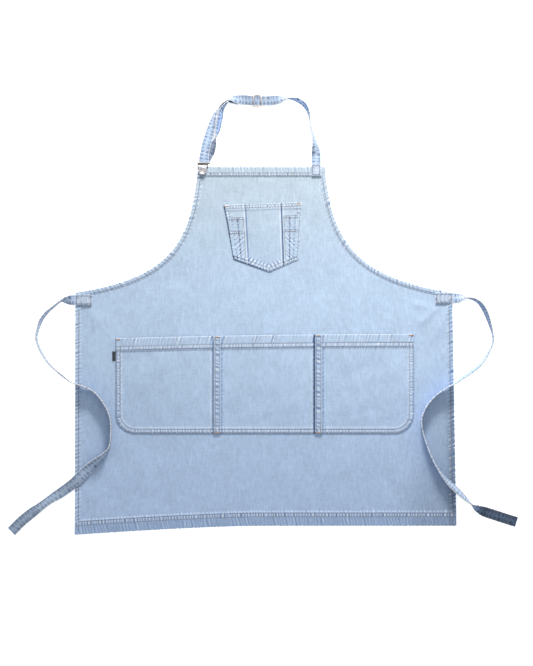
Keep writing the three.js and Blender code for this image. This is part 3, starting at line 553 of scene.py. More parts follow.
def edge_point(line, s, d):
    """The point a distance d inside an edge, s along it; s may run a little past the ends."""
    reach = arc(line)
    at = along(line, np.clip(s, 0, reach[-1]))
    normals = left_of(line)
    normal = unit(np.stack([np.interp(s, reach, normals[:, k]) for k in range(2)], axis=-1))
    run = np.stack([normal[..., 1], -normal[..., 0]], axis=-1)
    beyond = s - np.clip(s, 0, reach[-1])
    return at + normal * np.asarray(d)[..., None] + run * beyond[..., None]


def hem_height(s, d, x, y, hem):
    """Top of a hem's cloth, with its wear and painted shade."""
    marks = (hem[key] for key in ("rows", "seed", "period", "skew", "depth", "edge", "line", "pale"))
    relief, wear_and_shade = seam_field(s, d, *marks)
    wear_and_shade = (wear_and_shade - hem["shade"] * (1 - smooth(d, hem["rows"][0] - 2, hem["rows"][0]))) * hem["contrast"]
    step = 1 - smooth(d, hem["width"] - 2, hem["width"] + 1.6)
    thick = cloth + (hem_thickness - cloth) * step
    near = smooth(hem["width"] + 6 - d, 0, 3)
    return lie(x, y) + thick + relief * near - 0.14 * (1 - near), wear_and_shade * near


broad = dict(period=6.6, skew=0.22, depth=0.35, edge=0.2, line=0.3, pale=-0.06)
narrow = dict(width=edge_hem, rows=(7.6,), period=8.6, skew=0.35, depth=0.6, edge=0.45,
              contrast=1.25, shade=0, line=0.3, pale=0.12)
hems = {
    "top": dict(broad, width=bib_hem, rows=(13.5, 18.8), seed=3, contrast=0.9, shade=0,
                clip=((0, -0.087), (0, 0.087))),
    "armhole_left": dict(narrow, seed=5, clip=((17, 0), (0, 0.153))),
    "side_left": dict(narrow, seed=7, clip=((7, 0), (-24, 0))),
    "bottom": dict(broad, width=bottom_hem, rows=(19, 27), seed=9, contrast=1.3, shade=0.16,
                   clip=((0, 0.068), (0, -0.018))),
    # Painted shade: on the right side, shade darkens the hem's strip outside the stitch row, for the shadow
    # along that side.
    "side_right": dict(narrow, seed=13, shade=0.16, clip=((24, 0), (-7, 0))),
    "armhole_right": dict(narrow, seed=15, clip=((0, -0.153), (-17, 0))),
}


def hem_piece(name, hem):
    line = edges[name]
    length = arc(line)[-1]
    width = hem["width"]
    inner = [width + 6, width + 4, width + 2.4, width + 1, width - 0.4]
    rounding = 1.35
    middle = np.linspace(width - 1.8, rounding, max(6, int(width / 1.5)))
    over = np.concatenate([inner, middle, [0.8, 0.35, 0]])
    under = over[::-1][1:]
    d = np.concatenate([over, under])
    t = np.linspace(0, 1, int(length / 1.9))[:, None]
    (s0, k0), (s1, k1) = hem["clip"]
    s = (s0 + k0 * d) * (1 - t) + (length + s1 + k1 * d) * t
    ropes = pucker(s, hem["seed"] + 40)
    depth_in = np.broadcast_to(d, s.shape)
    scallop = 0.55 * ropes * ridge(depth_in, 4)
    flat = edge_point(line, s, depth_in + scallop)
    x, y = flat[..., 0], flat[..., 1]
    z, wear_and_shade = hem_height(s, depth_in, x, y, hem)
    low = lie(x, y)
    fold = np.sqrt(np.clip(1 - (1 - np.clip(depth_in / rounding, 0, 1)) ** 2, 0, 1))
    centre = (z + low) / 2
    is_under = np.arange(len(d)) >= len(over)
    z = np.where(is_under, centre - (centre - low) * fold, centre + (z - centre) * fold)
    under_step = np.where(depth_in > width, cloth - 0.5, 0)
    z = np.where(is_under, z + under_step, z)
    colour = worn_and_shaded(base_colour(x, y), wear_and_shade)
    colour = np.where(is_under[None, :, None], back_of(colour), colour)
    points, faces = tube(np.stack([x, y, z], axis=-1))
    return make("hem_" + name, points, faces, denim, colour, slot="denim")


hem_pieces = [hem_piece(name, hem) for name, hem in hems.items()]

# ---- the main panel's cloth, whose rim is inside the hems ----
panel_inset = 4.0


def inset_line(name):
    line = edges[name]
    reach = arc(line)
    return edge_point(line, reach, np.full(len(line), panel_inset))


def panel_piece():
    left_top = inset_line("armhole_left")
    left_side = inset_line("side_left")
    right_side = inset_line("side_right")[::-1]
    right_top = inset_line("armhole_right")[::-1]
    below_corner = side_corner_y - 5
    left = np.concatenate([left_top[left_top[:, 0] > left_side[0, 0]],
                           left_side[left_side[:, 1] < below_corner]])
    right = np.concatenate([right_top[right_top[:, 0] < right_side[0, 0]],
                            right_side[right_side[:, 1] < below_corner]])
    top_y, low_y = bib_top_y - panel_inset, hem_y + 6
    above, at_ties, below = np.arange(top_y, 70, -4.6), np.arange(70, 34, -1.5), np.arange(34, low_y, -4.6)
    y = np.concatenate([above, at_ties, below, [low_y]])
    x_left = np.interp(-y, -left[:, 1], left[:, 0])
    x_right = np.interp(-y, -right[:, 1], right[:, 0])
    u = np.linspace(0, 1, 165)
    x = x_left[:, None] * (1 - u) + x_right[:, None] * u
    rows_y = np.broadcast_to(y[:, None], x.shape)
    low = lie(x, rows_y)
    # The button's nail passes through the cloth, so nothing else is cut here: the head covers it.
    colour = base_colour(x, rows_y)
    return sheet("panel_cloth", x, rows_y, low + cloth, low + 0.05, denim, colour, back_of(colour),
                 node="main_panel", slot="denim")


panel = panel_piece()


# ---- stitches ----
def stitch_runs(name, runs, node=None, pitch=3.3, length=2.7, radius=0.48, body="root"):
    """A row of stitches along each run, which holds points and the way up at each."""
    starts, ends, ups = [], [], []
    for path, up in runs:
        total = arc(path)[-1]
        count = max(1, int(total / pitch))
        first = (total - count * pitch) / 2 + (pitch - length) / 2 + pitch * np.arange(count)
        starts.append(along(path, first))
        ends.append(along(path, first + length))
        reach = arc(path)
        up = np.broadcast_to(np.asarray(up, dtype=float), path.shape)
        ups.append(np.stack([np.interp(first, reach, up[:, k]) for k in range(3)], axis=-1))
    points, faces = capsules(np.concatenate(starts), np.concatenate(ends), unit(np.concatenate(ups)), radius)
    return make(name, points, faces, tan_thread, body=body, sharp=0, node=node, slot="topstitch_thread")


UP = (0, 0, 1)
thread_lift = 0.12  # from the cloth to the middle of a stitch
run_step = 1.2  # between the points of a stitched line


def hem_stitches(name, start, end, node):
    hem, line = hems[name], edges[name]
    length = arc(line)[-1]
    runs = []
    for row in hem["rows"]:
        s = np.arange(start, length - end, run_step)
        d = np.full(s.shape, float(row))
        flat = edge_point(line, s, d)
        z, _ = hem_height(s, d, flat[:, 0], flat[:, 1], hem)
        runs.append((np.column_stack([flat, z + thread_lift]), UP))
    return stitch_runs("thread_" + name, runs, node)


for name, start, end in (("top", 31, 20), ("armhole_left", 22, 36), ("armhole_right", 38, 30),
                         ("side_left", 36, 4), ("side_right", 4, 36), ("bottom", 3, 3)):
    hem_stitches(name, start, end, "stitch_" + name + ("_hem" if name in ("top", "bottom") else ""))


# ---- waist pocket ----
pocket_left, pocket_right = -312.5, 314
pocket_top, pocket_drop, pocket_depth, pocket_corner = -46.5, 9, 209, 42
pocket_bottom = pocket_top - pocket_depth
pocket_hem = 28
pocket_hem_rows = (17.6, 25)
pocket_edge_rows = (2.2, 9.4)
dividers, divider_width = (-107, 105.5), 15.5
divider_rows = (3.1, 12.4)
pocket_rise = 3.6  # how far the middle of each pocket stands off the skirt


def mouth_y(x):
    return pocket_top - pocket_drop * ((pocket_right - x) / (pocket_right - pocket_left)) ** 2


def pocket_end(side, y):
    end = pocket_left if side < 0 else pocket_right
    below = np.clip(pocket_bottom + pocket_corner - y, 0, pocket_corner)
    return end - side * (pocket_corner - np.sqrt(pocket_corner**2 - below**2))


def pocket_rim():
    turn = np.linspace(0, math.pi / 2, 24)
    down = np.column_stack([np.full(2, pocket_left), [mouth_y(pocket_left), pocket_bottom + pocket_corner]])
    left = np.column_stack([pocket_left + pocket_corner * (1 - np.cos(turn)),
                            pocket_bottom + pocket_corner * (1 - np.sin(turn))])
    right = np.column_stack([pocket_right - pocket_corner * (1 - np.sin(turn)),
                             pocket_bottom + pocket_corner * (1 - np.cos(turn))])
    up = np.array([[pocket_right, mouth_y(pocket_right)]])
    return np.concatenate([down, left[1:], right, up])


rim = pocket_rim()


def pocket_surface(x, y, v):
    """Underside, top, and wear with painted shade of the waist pocket at a place, v being its share of the
    way down.
    """
    spans = [pocket_left, dividers[0] + divider_width, dividers[0],
             dividers[1] + divider_width, dividers[1], pocket_right]
    lows = np.where(x < dividers[0], spans[0] + 12, np.where(x < dividers[1], spans[1], spans[3]))
    highs = np.where(x < dividers[0], spans[2], np.where(x < dividers[1], spans[4], spans[5] - 12))
    inside = np.clip((x - lows) / (highs - lows), 0, 1)
    crown = (1 - (2 * inside - 1) ** 2) ** 0.8
    rise = pocket_rise * crown * (1 - np.clip(v / 0.93, 0, 1) ** 3)
    waves = noise1(x + 0.4 * y, 50, 71) + noise1(y - 0.3 * x, 66, 72)
    puff = 0.22 * waves * crown * smooth(1 - v, 0.05, 0.2)
    under = lie(x, y) + on_cloth - 0.15 + rise + puff
    below_mouth = mouth_y(x) - y
    away, s = nearest(x, y, rim)
    top = under + cloth
    hem = 1 - smooth(below_mouth, pocket_hem - 1.6, pocket_hem + 1)
    top += (hem_thickness - cloth) * hem
    wear_and_shade = np.zeros(x.shape)
    in_seam = np.zeros(x.shape)
    for i, line in enumerate(dividers):
        across = x - line
        lift = smooth(across, -0.4, 0.8) * (1 - smooth(across, divider_width - 0.9, divider_width + 0.6))
        in_seam = np.maximum(in_seam, lift)
        rows = sum(ridge(across - row, 0.9) for row in divider_rows)
        gathers = pucker(y + 0.3 * across, 81 + i, 9.5)
        between = np.clip(1 - np.abs(across - divider_width / 2) / 5, 0, 1)
        edge = ridge(across - 0.9, 1.1) + 0.7 * ridge(across - divider_width + 0.9, 1.1)
        # Painted shade: rows darkens the grooves of the divider's stitch rows.
        wear_and_shade += lift * ((0.85 * gathers - 0.1) * between - 0.35 * rows + (0.35 + 0.5 * gathers) * edge)
        top += lift * (0.35 * gathers * between - 0.3 * rows)
        # Painted shade: a dark line just left of each divider strip, deeper at the right one, and one more on
        # the right strip's left edge, as the raised strips would shade the cloth beside them.
        wear_and_shade -= (0.75 + 0.75 * i) * ridge(across + 1.6, 1.8) * (0.8 + 0.3 * gathers)
        wear_and_shade -= 0.7 * ridge(across - divider_width - 1.4, 1.4) * (0.7 + 0.5 * gathers)
        wear_and_shade -= 0.75 * i * ridge(across - 0.6, 1.2) * (0.7 + 0.3 * gathers)
        wear_and_shade += 0.35 * ridge(across + 5.2, 1.6) * smooth(below_mouth, pocket_hem, pocket_hem + 6)
    top += (seam_thickness - hem_thickness) * in_seam * hem + (seam_thickness - cloth) * in_seam * (1 - hem)
    relief, wear = seam_field(x, below_mouth, pocket_hem_rows, 21, 6.4, 0.3, 0.4, 0.3, 0.34, 0.16)
    top += relief * (1 - 0.7 * in_seam)
    wear_and_shade += wear * (1 - 0.6 * in_seam)
    relief, wear = seam_field(s, away, pocket_edge_rows, 23, 6.4, 0.2, 0.45, 0.1, 0.42, 0.14)
    # Painted shade: a dark line right at the pocket's edge, as its raised rim would shade it.
    wear = wear - 0.38 * ridge(away, 1.1) + 0.2 * ridge(away - 12.5, 1.6)
    sewn = (1 - smooth(away, 12, 18)) * smooth(below_mouth, pocket_hem - 4, pocket_hem + 4)
    double_layer = (1 - smooth(away, 11, 14)) * smooth(below_mouth, pocket_hem - 4, pocket_hem + 2)
    top += 0.8 * double_layer + relief * sewn
    wear_and_shade += wear * np.maximum(sewn, 0.35 * (1 - smooth(away, 3, 6)))
    return under, top, wear_and_shade


def rounded(top, under, rounding):
    """The top of a sheet, brought down round its edge where rounding is below 1."""
    return under + (top - under) * (0.5 + 0.5 * np.sqrt(1 - (1 - np.clip(rounding, 0, 1)) ** 2))


def pocket_piece(name, left, right):
    crowded = [0, 0.6, 1.6, 3, 5] if left is not None else [0, 0.7, 1.6, 3, 5, 7]
    start = pocket_left if left is None else left
    stop = pocket_right if right is None else right
    width = stop - start
    u = np.concatenate([crowded, np.arange(7, width - 6, 2.1), width - np.array([5, 3, 1.4, 0.6, 0])]) / width
    turn = np.linspace(0, math.pi / 2, 22)[1:]
    v = np.concatenate([[0, 0.5, 1.3], np.arange(2.6, pocket_depth - pocket_corner, 2.1)]) / pocket_depth
    v = np.concatenate([v, 1 - pocket_corner * (1 - np.sin(turn)) / pocket_depth])
    y = pocket_top - pocket_depth * v
    x_left = pocket_end(-1, y) if left is None else np.full(y.shape, left)
    x_right = pocket_end(1, y) if right is None else np.full(y.shape, right)
    x = x_left[:, None] * (1 - u) + x_right[:, None] * u
    rows_v = np.broadcast_to(v[:, None], x.shape)
    y = mouth_y(x) * (1 - rows_v) + pocket_bottom * rows_v
    under, top, wear_and_shade = pocket_surface(x, y, rows_v)
    top = rounded(top, under, np.minimum(mouth_y(x) - y, nearest(x, y, rim)[0]) / 1.2)
    colour = base_colour(x, y)
    sheet("waist_pocket_" + name, x, y, top, under, denim, worn_and_shaded(colour, wear_and_shade), back_of(colour),
          node="pocket_panel_" + name, slot="denim")


pocket_piece("left", None, dividers[0] - gap)
pocket_piece("center", dividers[0], dividers[1] - gap)
pocket_piece("right", dividers[1], None)


def on_pocket(x, y):
    """A path on the waist pocket's top, where its thread lies."""
    v = (mouth_y(x) - y) / (mouth_y(x) - pocket_bottom)
    _, top, _ = pocket_surface(x, y, v)
    return np.column_stack([x, y, top + thread_lift])


def pocket_hem_run(row, start, stop):
    x = np.arange(start, stop, run_step)
    return on_pocket(x, mouth_y(x) - row), UP


def rim_run(row, start, stop):
    """Stitches a distance inside the pocket's rim, from one length along it to another."""
    s = np.arange(start, stop, run_step)
    flat = edge_point(rim, s, np.full(s.shape, float(row)))
    return on_pocket(flat[:, 0], flat[:, 1]), UP


rim_reach = arc(rim)
rim_length = rim_reach[-1]
bottom_start = pocket_depth - pocket_drop - pocket_corner + pocket_corner * math.pi / 4
bottom_stop = rim_length - (pocket_depth - pocket_corner + pocket_corner * math.pi / 4)
left_divider_s = bottom_start + (dividers[0] - pocket_left) - pocket_corner * 0.62
right_divider_s = bottom_stop - (pocket_right - dividers[1]) + pocket_corner * 0.62
for side, start, stop in (
    ("left", pocket_left + 2, dividers[0] - 1),
    ("center", dividers[0] + 1, dividers[1] - 1),
    ("right", dividers[1] + 1, pocket_right - 2),
):
    stitch_runs("thread_pocket_hem_" + side, [pocket_hem_run(row, start, stop) for row in pocket_hem_rows],
                "stitch_pocket_hem_" + side)
for side, line in zip(("left", "right"), dividers):
    y = np.arange(mouth_y(line) - 1.5, pocket_bottom + 1, -run_step)
    runs = [(on_pocket(np.full(y.shape, line + inset), y), UP) for inset in divider_rows]
    stitch_runs("thread_divider_" + side, runs, "stitch_divider_" + side)
for name, start, stop in (
    ("left_end", 14, bottom_start),
    ("bottom_left", bottom_start, left_divider_s),
    ("bottom_center", left_divider_s, right_divider_s),
    ("bottom_right", right_divider_s, bottom_stop),
    ("right_end", bottom_stop, rim_length - 14),
):
    stitch_runs("thread_pocket_" + name, [rim_run(row, start, stop) for row in pocket_edge_rows],
                "stitch_pocket_" + name)


# ---- bib pocket ----
bib_rise = 2.6
bib_pocket_left = ((-86, 224), (-65, 110))
bib_pocket_right = ((78, 230), (71, 110))
bib_point = (10, 83)
slot_line_left = ((-41, 0), (-33, 0))
slot_line_right = ((35, 0), (40, 0))
slot_drops = {"tall": 26, "short": 55}


def lerp(pair, v, axis=0):
    return pair[0][axis] * (1 - v) + pair[1][axis] * v


def bib_top(x):
    share = (x - bib_pocket_left[0][0]) / (bib_pocket_right[0][0] - bib_pocket_left[0][0])
    return bib_pocket_left[0][1] * (1 - share) + bib_pocket_right[0][1] * share


def bib_bottom(x):
    left = (bib_point[0] - x) / (bib_point[0] - bib_pocket_left[1][0])
    right = (x - bib_point[0]) / (bib_pocket_right[1][0] - bib_point[0])
    return bib_point[1] + (bib_pocket_left[1][1] - bib_point[1]) * np.maximum(left, right)


bib_rim = resample([bib_pocket_left[0], bib_pocket_left[1], bib_point,
                    bib_pocket_right[1], bib_pocket_right[0]], 2)
slot_line_top, bib_depth = 227, 144
slot_level = np.array(190.0)  # a height at which every slot is cut
bib_mouth_rows = (2.0, 7.4)


def bib_share(x, y):
    return (bib_top(x) - y) / np.maximum(bib_top(x) - bib_bottom(x), 1)


def slot_lines(y):
    v = np.clip((slot_line_top - y) / bib_depth, 0, 1)
    return lerp(slot_line_left, v), lerp(slot_line_right, v)


def bib_surface(x, y):
    v = np.clip(bib_share(x, y), 0, 1)
    left, right = slot_lines(y)
    inside = np.clip((x - left) / (right - left), 0, 1)
    crown = (1 - (2 * inside - 1) ** 2) ** 0.8
    under = lie(x, y) + on_cloth - 0.15 + bib_rise * crown * (1 - np.clip(v / 0.9, 0, 1) ** 3)
    away, s = nearest(x, y, bib_rim)
    below = bib_top(x) - y
    top = under + cloth * (2 - smooth(below, 12, 14))
    relief, wear_and_shade = seam_field(x, below, bib_mouth_rows, 31, 6.4, 0.1, 0.3)
    hem = 1 - smooth(below, 9, 13)
    top += relief * hem
    wear_and_shade = wear_and_shade * hem
    relief, wear = seam_field(s, away, (2.2, 8.6), 33, 8.0, 0.15, 0.4)
    sewn = 1 - smooth(away, 11, 17)
    top += relief * sewn + 0.7 * (1 - smooth(away, 9.5, 12))
    wear_and_shade = wear_and_shade + wear * sewn
    # The slots' inner edges are ironed folds that the pocket's middle slips behind. The dark line just beside
    # each fold's edge is painted shadow.
    wear_and_shade = wear_and_shade + 0.5 * ridge(x - left + 2.6, 1.3) - 0.8 * ridge(x - left - 0.6, 1.1)
    wear_and_shade = wear_and_shade + 0.5 * ridge(x - right + 3, 1.3) - 1.25 * ridge(x - right - 0.3, 1.4)
    wear_and_shade = wear_and_shade + 0.5 * ridge(x - right - 3.4, 1.3)
    # Painted shade darkens the turned edge on the left and at the foot, less and less towards the right.
    outer_left = lerp(bib_pocket_left, v)
    wear_and_shade = wear_and_shade - 1.3 * ridge(x - outer_left - 0.4, 1.2)
    foot = ridge(y - bib_bottom(x) - 0.8, 1.5) * (y < bib_pocket_right[1][1] + 1)
    wear_and_shade = wear_and_shade - foot * (1.1 - 0.9 * smooth(x, -30, 40))
    stroke = np.sin(2 * math.pi * (x + 0.5 * (y - bib_bottom(x)) * np.sign(x - bib_point[0])) / 7.2)
    wear_and_shade = wear_and_shade + 0.55 * stroke * ridge(y - bib_bottom(x) - 13, 5) * smooth(40 - np.abs(x), 0, 10)
    return under, top, wear_and_shade


def bib_pocket_piece():
    u = np.linspace(0, 1, 100)
    v = np.concatenate([[0, 0.004, 0.01], np.linspace(0.022, 0.985, 78), [0.992, 0.997, 1]])[:, None]
    left, right = lerp(bib_pocket_left, v), lerp(bib_pocket_right, v)
    x = left * (1 - u) + right * u
    y = bib_top(x) * (1 - v) + bib_bottom(x) * v
    under, top, wear_and_shade = bib_surface(x, y)
    top = rounded(top, under, np.minimum(bib_top(x) - y, nearest(x, y, bib_rim)[0]) / 1.1)
    sheet("bib_pocket_cloth", x, y, top, under, denim, worn_and_shaded(base_colour(x, y), wear_and_shade),
          node="bib_pocket", slot="denim")


bib_pocket_piece()


def slot_frame(side, kind):
    """The outer and inner X of a tool slot's cloth at a height Y."""
    def outer(y):
        v = np.clip((slot_line_top - y) / bib_depth, 0, 1)
        return lerp(bib_pocket_left, v) + 4 if side < 0 else lerp(bib_pocket_right, v) - 4

    def inner(y):
        left, right = slot_lines(y)
        return left - 2.4 if side < 0 else right + 2.4

    return outer, inner, slot_drops[kind]


slot_mouth_rows = (1.4, 5.0)


def slot_seam(outer, inner):
    """Where the seam between two slots runs, nearer their inner edge."""
    return outer + (inner - outer) * 0.58


def slot_surface(x, y, side, kind):
    outer, inner, drop = slot_frame(side, kind)
    layer = {"tall": 1, "short": 2}[kind]
    base = bib_surface(x, y)[1]
    top = base + 0.75 * layer
    below = bib_top(x) - drop - y
    relief, wear_and_shade = seam_field(x, below, slot_mouth_rows, 51 + layer + side, 5.6, 0.1, 0.3)
    hem = 1 - smooth(below, 6, 8)
    top = top + relief * hem + 0.5 * (1 - smooth(below, 5.5, 7.5))
    wear_and_shade = wear_and_shade * hem
    # Dark dashes lie along the seams between the slots, and slanting puckers beside them.
    ripple = pucker(y, 61 + layer + side, 7.6)
    for place, strength in ((slot_seam(outer(y), inner(y)), 0.85), (outer(y) - side * 8.5, 0.5)):
        seam = ridge(x - place, 1.5)
        top -= 0.3 * seam
        wear_and_shade -= strength * seam * (0.45 + 0.75 * np.clip(ripple, -0.4, 1))
    slant = pucker(y + 0.9 * side * x, 66 + layer + side, 9.0)
    worn = smooth(below, 8, 14) * smooth(np.abs(x - outer(y)), 4, 9) * smooth(np.abs(x - inner(y)), 2, 5)
    top += 0.2 * slant * worn
    wear_and_shade += (0.34 if kind == "short" else 0.1) * slant * worn
    wear_and_shade += 0.45 * ridge(x - inner(y), 1.1)
    return base, top, wear_and_shade


def slot_piece(side, kind):
    outer, inner, drop = slot_frame(side, kind)
    label = ("left" if side < 0 else "right") + "_" + kind
    u = np.linspace(0, 1, 26)
    v = np.linspace(0, 1, 64)[:, None]
    x_guess = (outer(np.array(200.0)) + inner(np.array(200.0))) / 2
    y = (bib_top(x_guess) - drop) * (1 - v) + (bib_bottom(x_guess) + 8) * v
    x = outer(y) * (1 - u) + inner(y) * u
    y = (bib_top(x) - drop) * (1 - v) + (bib_bottom(x) + 8.5) * v
    base, top, wear_and_shade = slot_surface(x, y, side, kind)
    under = base + (0.12 if kind == "tall" else 0.8)
    top = np.maximum(top, under + 0.35)
    sheet("tool_slot_" + label, x, y, top, under, denim, worn_and_shaded(base_colour(x, y), wear_and_shade),
          node="bib_slot_" + label, slot="denim")


for side in (-1, 1):
    for kind in ("tall", "short"):
        slot_piece(side, kind)


def on_bib(x, y):
    return np.column_stack([x, y, bib_surface(x, y)[1] + thread_lift])


def bib_rim_run(row, margin=3):
    s = np.arange(margin, arc(bib_rim)[-1] - margin, run_step)
    flat = edge_point(bib_rim, s, np.full(s.shape, float(row)))
    return on_bib(flat[:, 0], flat[:, 1]), UP


fine_stitch = dict(pitch=2.9, length=2.2)
mouth_x = np.arange(-84, 76.5, run_step)
mouth_runs = [(on_bib(mouth_x, bib_top(mouth_x) - row), UP) for row in bib_mouth_rows]
stitch_runs("thread_bib_mouth", mouth_runs, "stitch_bib_pocket_mouth", **fine_stitch)
stitch_runs("thread_bib_rim", [bib_rim_run(2.2), bib_rim_run(8.6, 12)], "stitch_bib_pocket_bottom",
            **fine_stitch)


def slot_runs(side, kind):
    """Stitches across a slot's mouth and down its seam and inner edge."""
    outer, inner, drop = slot_frame(side, kind)
    runs = []
    for row in slot_mouth_rows:
        ends = sorted((outer(slot_level), inner(slot_level)))
        x = np.arange(ends[0] + 1.5, ends[1] - 1.5, run_step)
        y = bib_top(x) - drop - row
        runs.append((np.column_stack([x, y, slot_surface(x, y, side, kind)[1] + 0.15]), UP))
    top_y = bib_top(inner(slot_level)) - drop
    stop = bib_bottom(inner(np.array(120.0))) + 12 if kind == "short" else top_y - 26
    y = np.arange(top_y - 1, stop, -run_step)
    for place in ("middle", "inner"):
        x = slot_seam(outer(y), inner(y)) if place == "middle" else inner(y) + side * 2.4
        runs.append((np.column_stack([x, y, slot_surface(x, y, side, kind)[1] + 0.15]), UP))
    return runs


for side, label in ((-1, "left"), (1, "right")):
    runs = slot_runs(side, "tall") + slot_runs(side, "short")
    stitch_runs("thread_slots_" + label, runs, **fine_stitch)


# ---- bartacks ----
def bartack(node, surface):
    """A dense bar of threads laid side by side, where the CAD puts it."""
    low, high = box_of(node)
    x = np.arange(low[0] + 0.3, high[0] - 0.2, 0.62)
    wave = 0.16 * np.sin(x * 9.1)
    floor = surface(x, np.full(x.shape, (low[1] + high[1]) / 2))[:, 2]
    starts = np.column_stack([x - 0.12, np.full(x.shape, low[1]) + wave, floor + 0.42])
    ends = np.column_stack([x + 0.12, np.full(x.shape, high[1]) + wave, floor + 0.42])
    points, faces = capsules(starts, ends, np.broadcast_to(np.array(UP, dtype=float), starts.shape), 0.4)
    name = node.replace("bartack_", "tack_")
    make(name, points, faces, orange_thread, sharp=0, node=node, slot="bartack_thread")


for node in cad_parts:
    if node.startswith("bartack_bib"):
        bartack(node, on_bib)
    elif node.startswith("bartack_"):
        bartack(node, on_pocket)


# ---- straps ----
strap_width, strap_thickness = 20, 2.2
tie_width, tie_thickness = 22, 2.6
on_edge_hem = on_hem + 0.8
on_panel = on_cloth + 0.2
over_return = strap_thickness + 2 * gap


def catmull(points, t, tension=None):
    """A Catmull-Rom curve through points at parameters 0 to 1, centripetal unless a tension is given."""
    points = np.asarray(points, dtype=float)
    extended = np.concatenate([[2 * points[0] - points[1]], points, [2 * points[-1] - points[-2]]])
    last = len(points) - 1
    p = t * last
    i = np.minimum(p.astype(int), last - 1)
    w = (p - i)[:, None]
    a, b, c, d = (extended[i + k] for k in range(4))
    if tension is None:
        root = lambda v: np.maximum(np.sqrt(np.linalg.norm(v, axis=1)), 1e-4)[:, None]
        da, db, dc = root(b - a), root(c - b), root(d - c)
        t1 = ((b - a) / da - (c - a) / (da + db) + (c - b) / db) * db
        t2 = ((c - b) / db - (d - b) / (db + dc) + (d - c) / dc) * db
    else:
        t1, t2 = tension * (c - a), tension * (d - b)
    return b + t1 * w + (3 * (c - b) - 2 * t1 - t2) * w**2 + (2 * (b - c) + t1 + t2) * w**3


def strap_frames(route, width, thickness, steps=9):
    """Centres, the way across and the way up along a strap's route of [x, y, roll, lowest edge]."""
    route = np.asarray(route, dtype=float)
    t = np.linspace(0, 1, (len(route) - 1) * steps + 1)
    flat = catmull(route[:, :2], t)
    turn = catmull(route[:, 2:], t, 0.3)
    run = unit(np.gradient(flat, axis=0))
    roll = np.radians(turn[:, 0])
    across = np.column_stack([-run[:, 1] * np.cos(roll), run[:, 0] * np.cos(roll), np.sin(roll)])
    up = np.cross(np.column_stack([run, np.zeros(len(run))]), across)
    rest = (width * np.abs(across[:, 2]) + thickness * np.abs(up[:, 2])) / 2
    z = np.maximum(turn[:, 1], 0) + rest
    return np.column_stack([flat, z]), across, up


def strap_section(width, thickness):
    """Places across and up round a folded strap's section, over the face and back under."""
    half, r = width / 2, thickness / 2
    turn = np.array([0.25, 0.5, 0.75, 1.0]) * math.pi / 2
    face = np.array([-half + r, -half + 1.9, -half + 3, -half + 4.2, -half + 6.2, 0])
    face = np.concatenate([face, -face[-2::-1]])
    edge_left = np.column_stack([-half + r - r * np.cos(turn - turn[0]), r * np.sin(turn - turn[0])])
    edge_right = edge_left[::-1] * [-1, 1]
    top = np.concatenate([edge_left, np.column_stack([face, np.full(len(face), r)]), edge_right])
    back = top[::-1].copy()
    back[:, 1] *= -1
    return np.concatenate([top, back[1:-1]])


strap_face = np.array([0.345, 0.44, 0.585])
strap_back = np.array([0.09, 0.16, 0.31])
box_blue = np.array([0.41, 0.48, 0.59])


def strap_surface(s, across, width, seed):
    """Relief and colour of a strap's face at a length s and a place across it."""
    inset = width / 2 - np.abs(across)
    gathers = np.where(across > 0, pucker(s, seed, 7.4), pucker(s, seed + 7, 7.4))
    outer = np.cos(math.pi / 2 * np.clip(inset / 3, 0, 1)) ** 0.6
    inner = ridge(inset - 5.2, 1.7)
    row = ridge(inset - 3, 0.8)
    relief = 0.3 * gathers * outer + 0.25 * gathers * inner - 0.3 * row
    relief = np.minimum(relief, 0.18)  # so that the slider passes over it
    wash = noise1(s, 60, seed + 3)
    dashes = smooth(-gathers, -0.1, 0.6) * (0.8 + 0.2 * wash)
    # Painted shade: row darkens the grooves of the strap's stitch rows.
    wear_and_shade = 0.55 * gathers * outer + inner * (0.25 * np.clip(gathers, 0, 1) - 0.95 * dashes) - 0.2 * row
    wear_and_shade = wear_and_shade + 0.06 * wash + 0.12 * ridge(across, 2.5)
    return relief, wear_and_shade


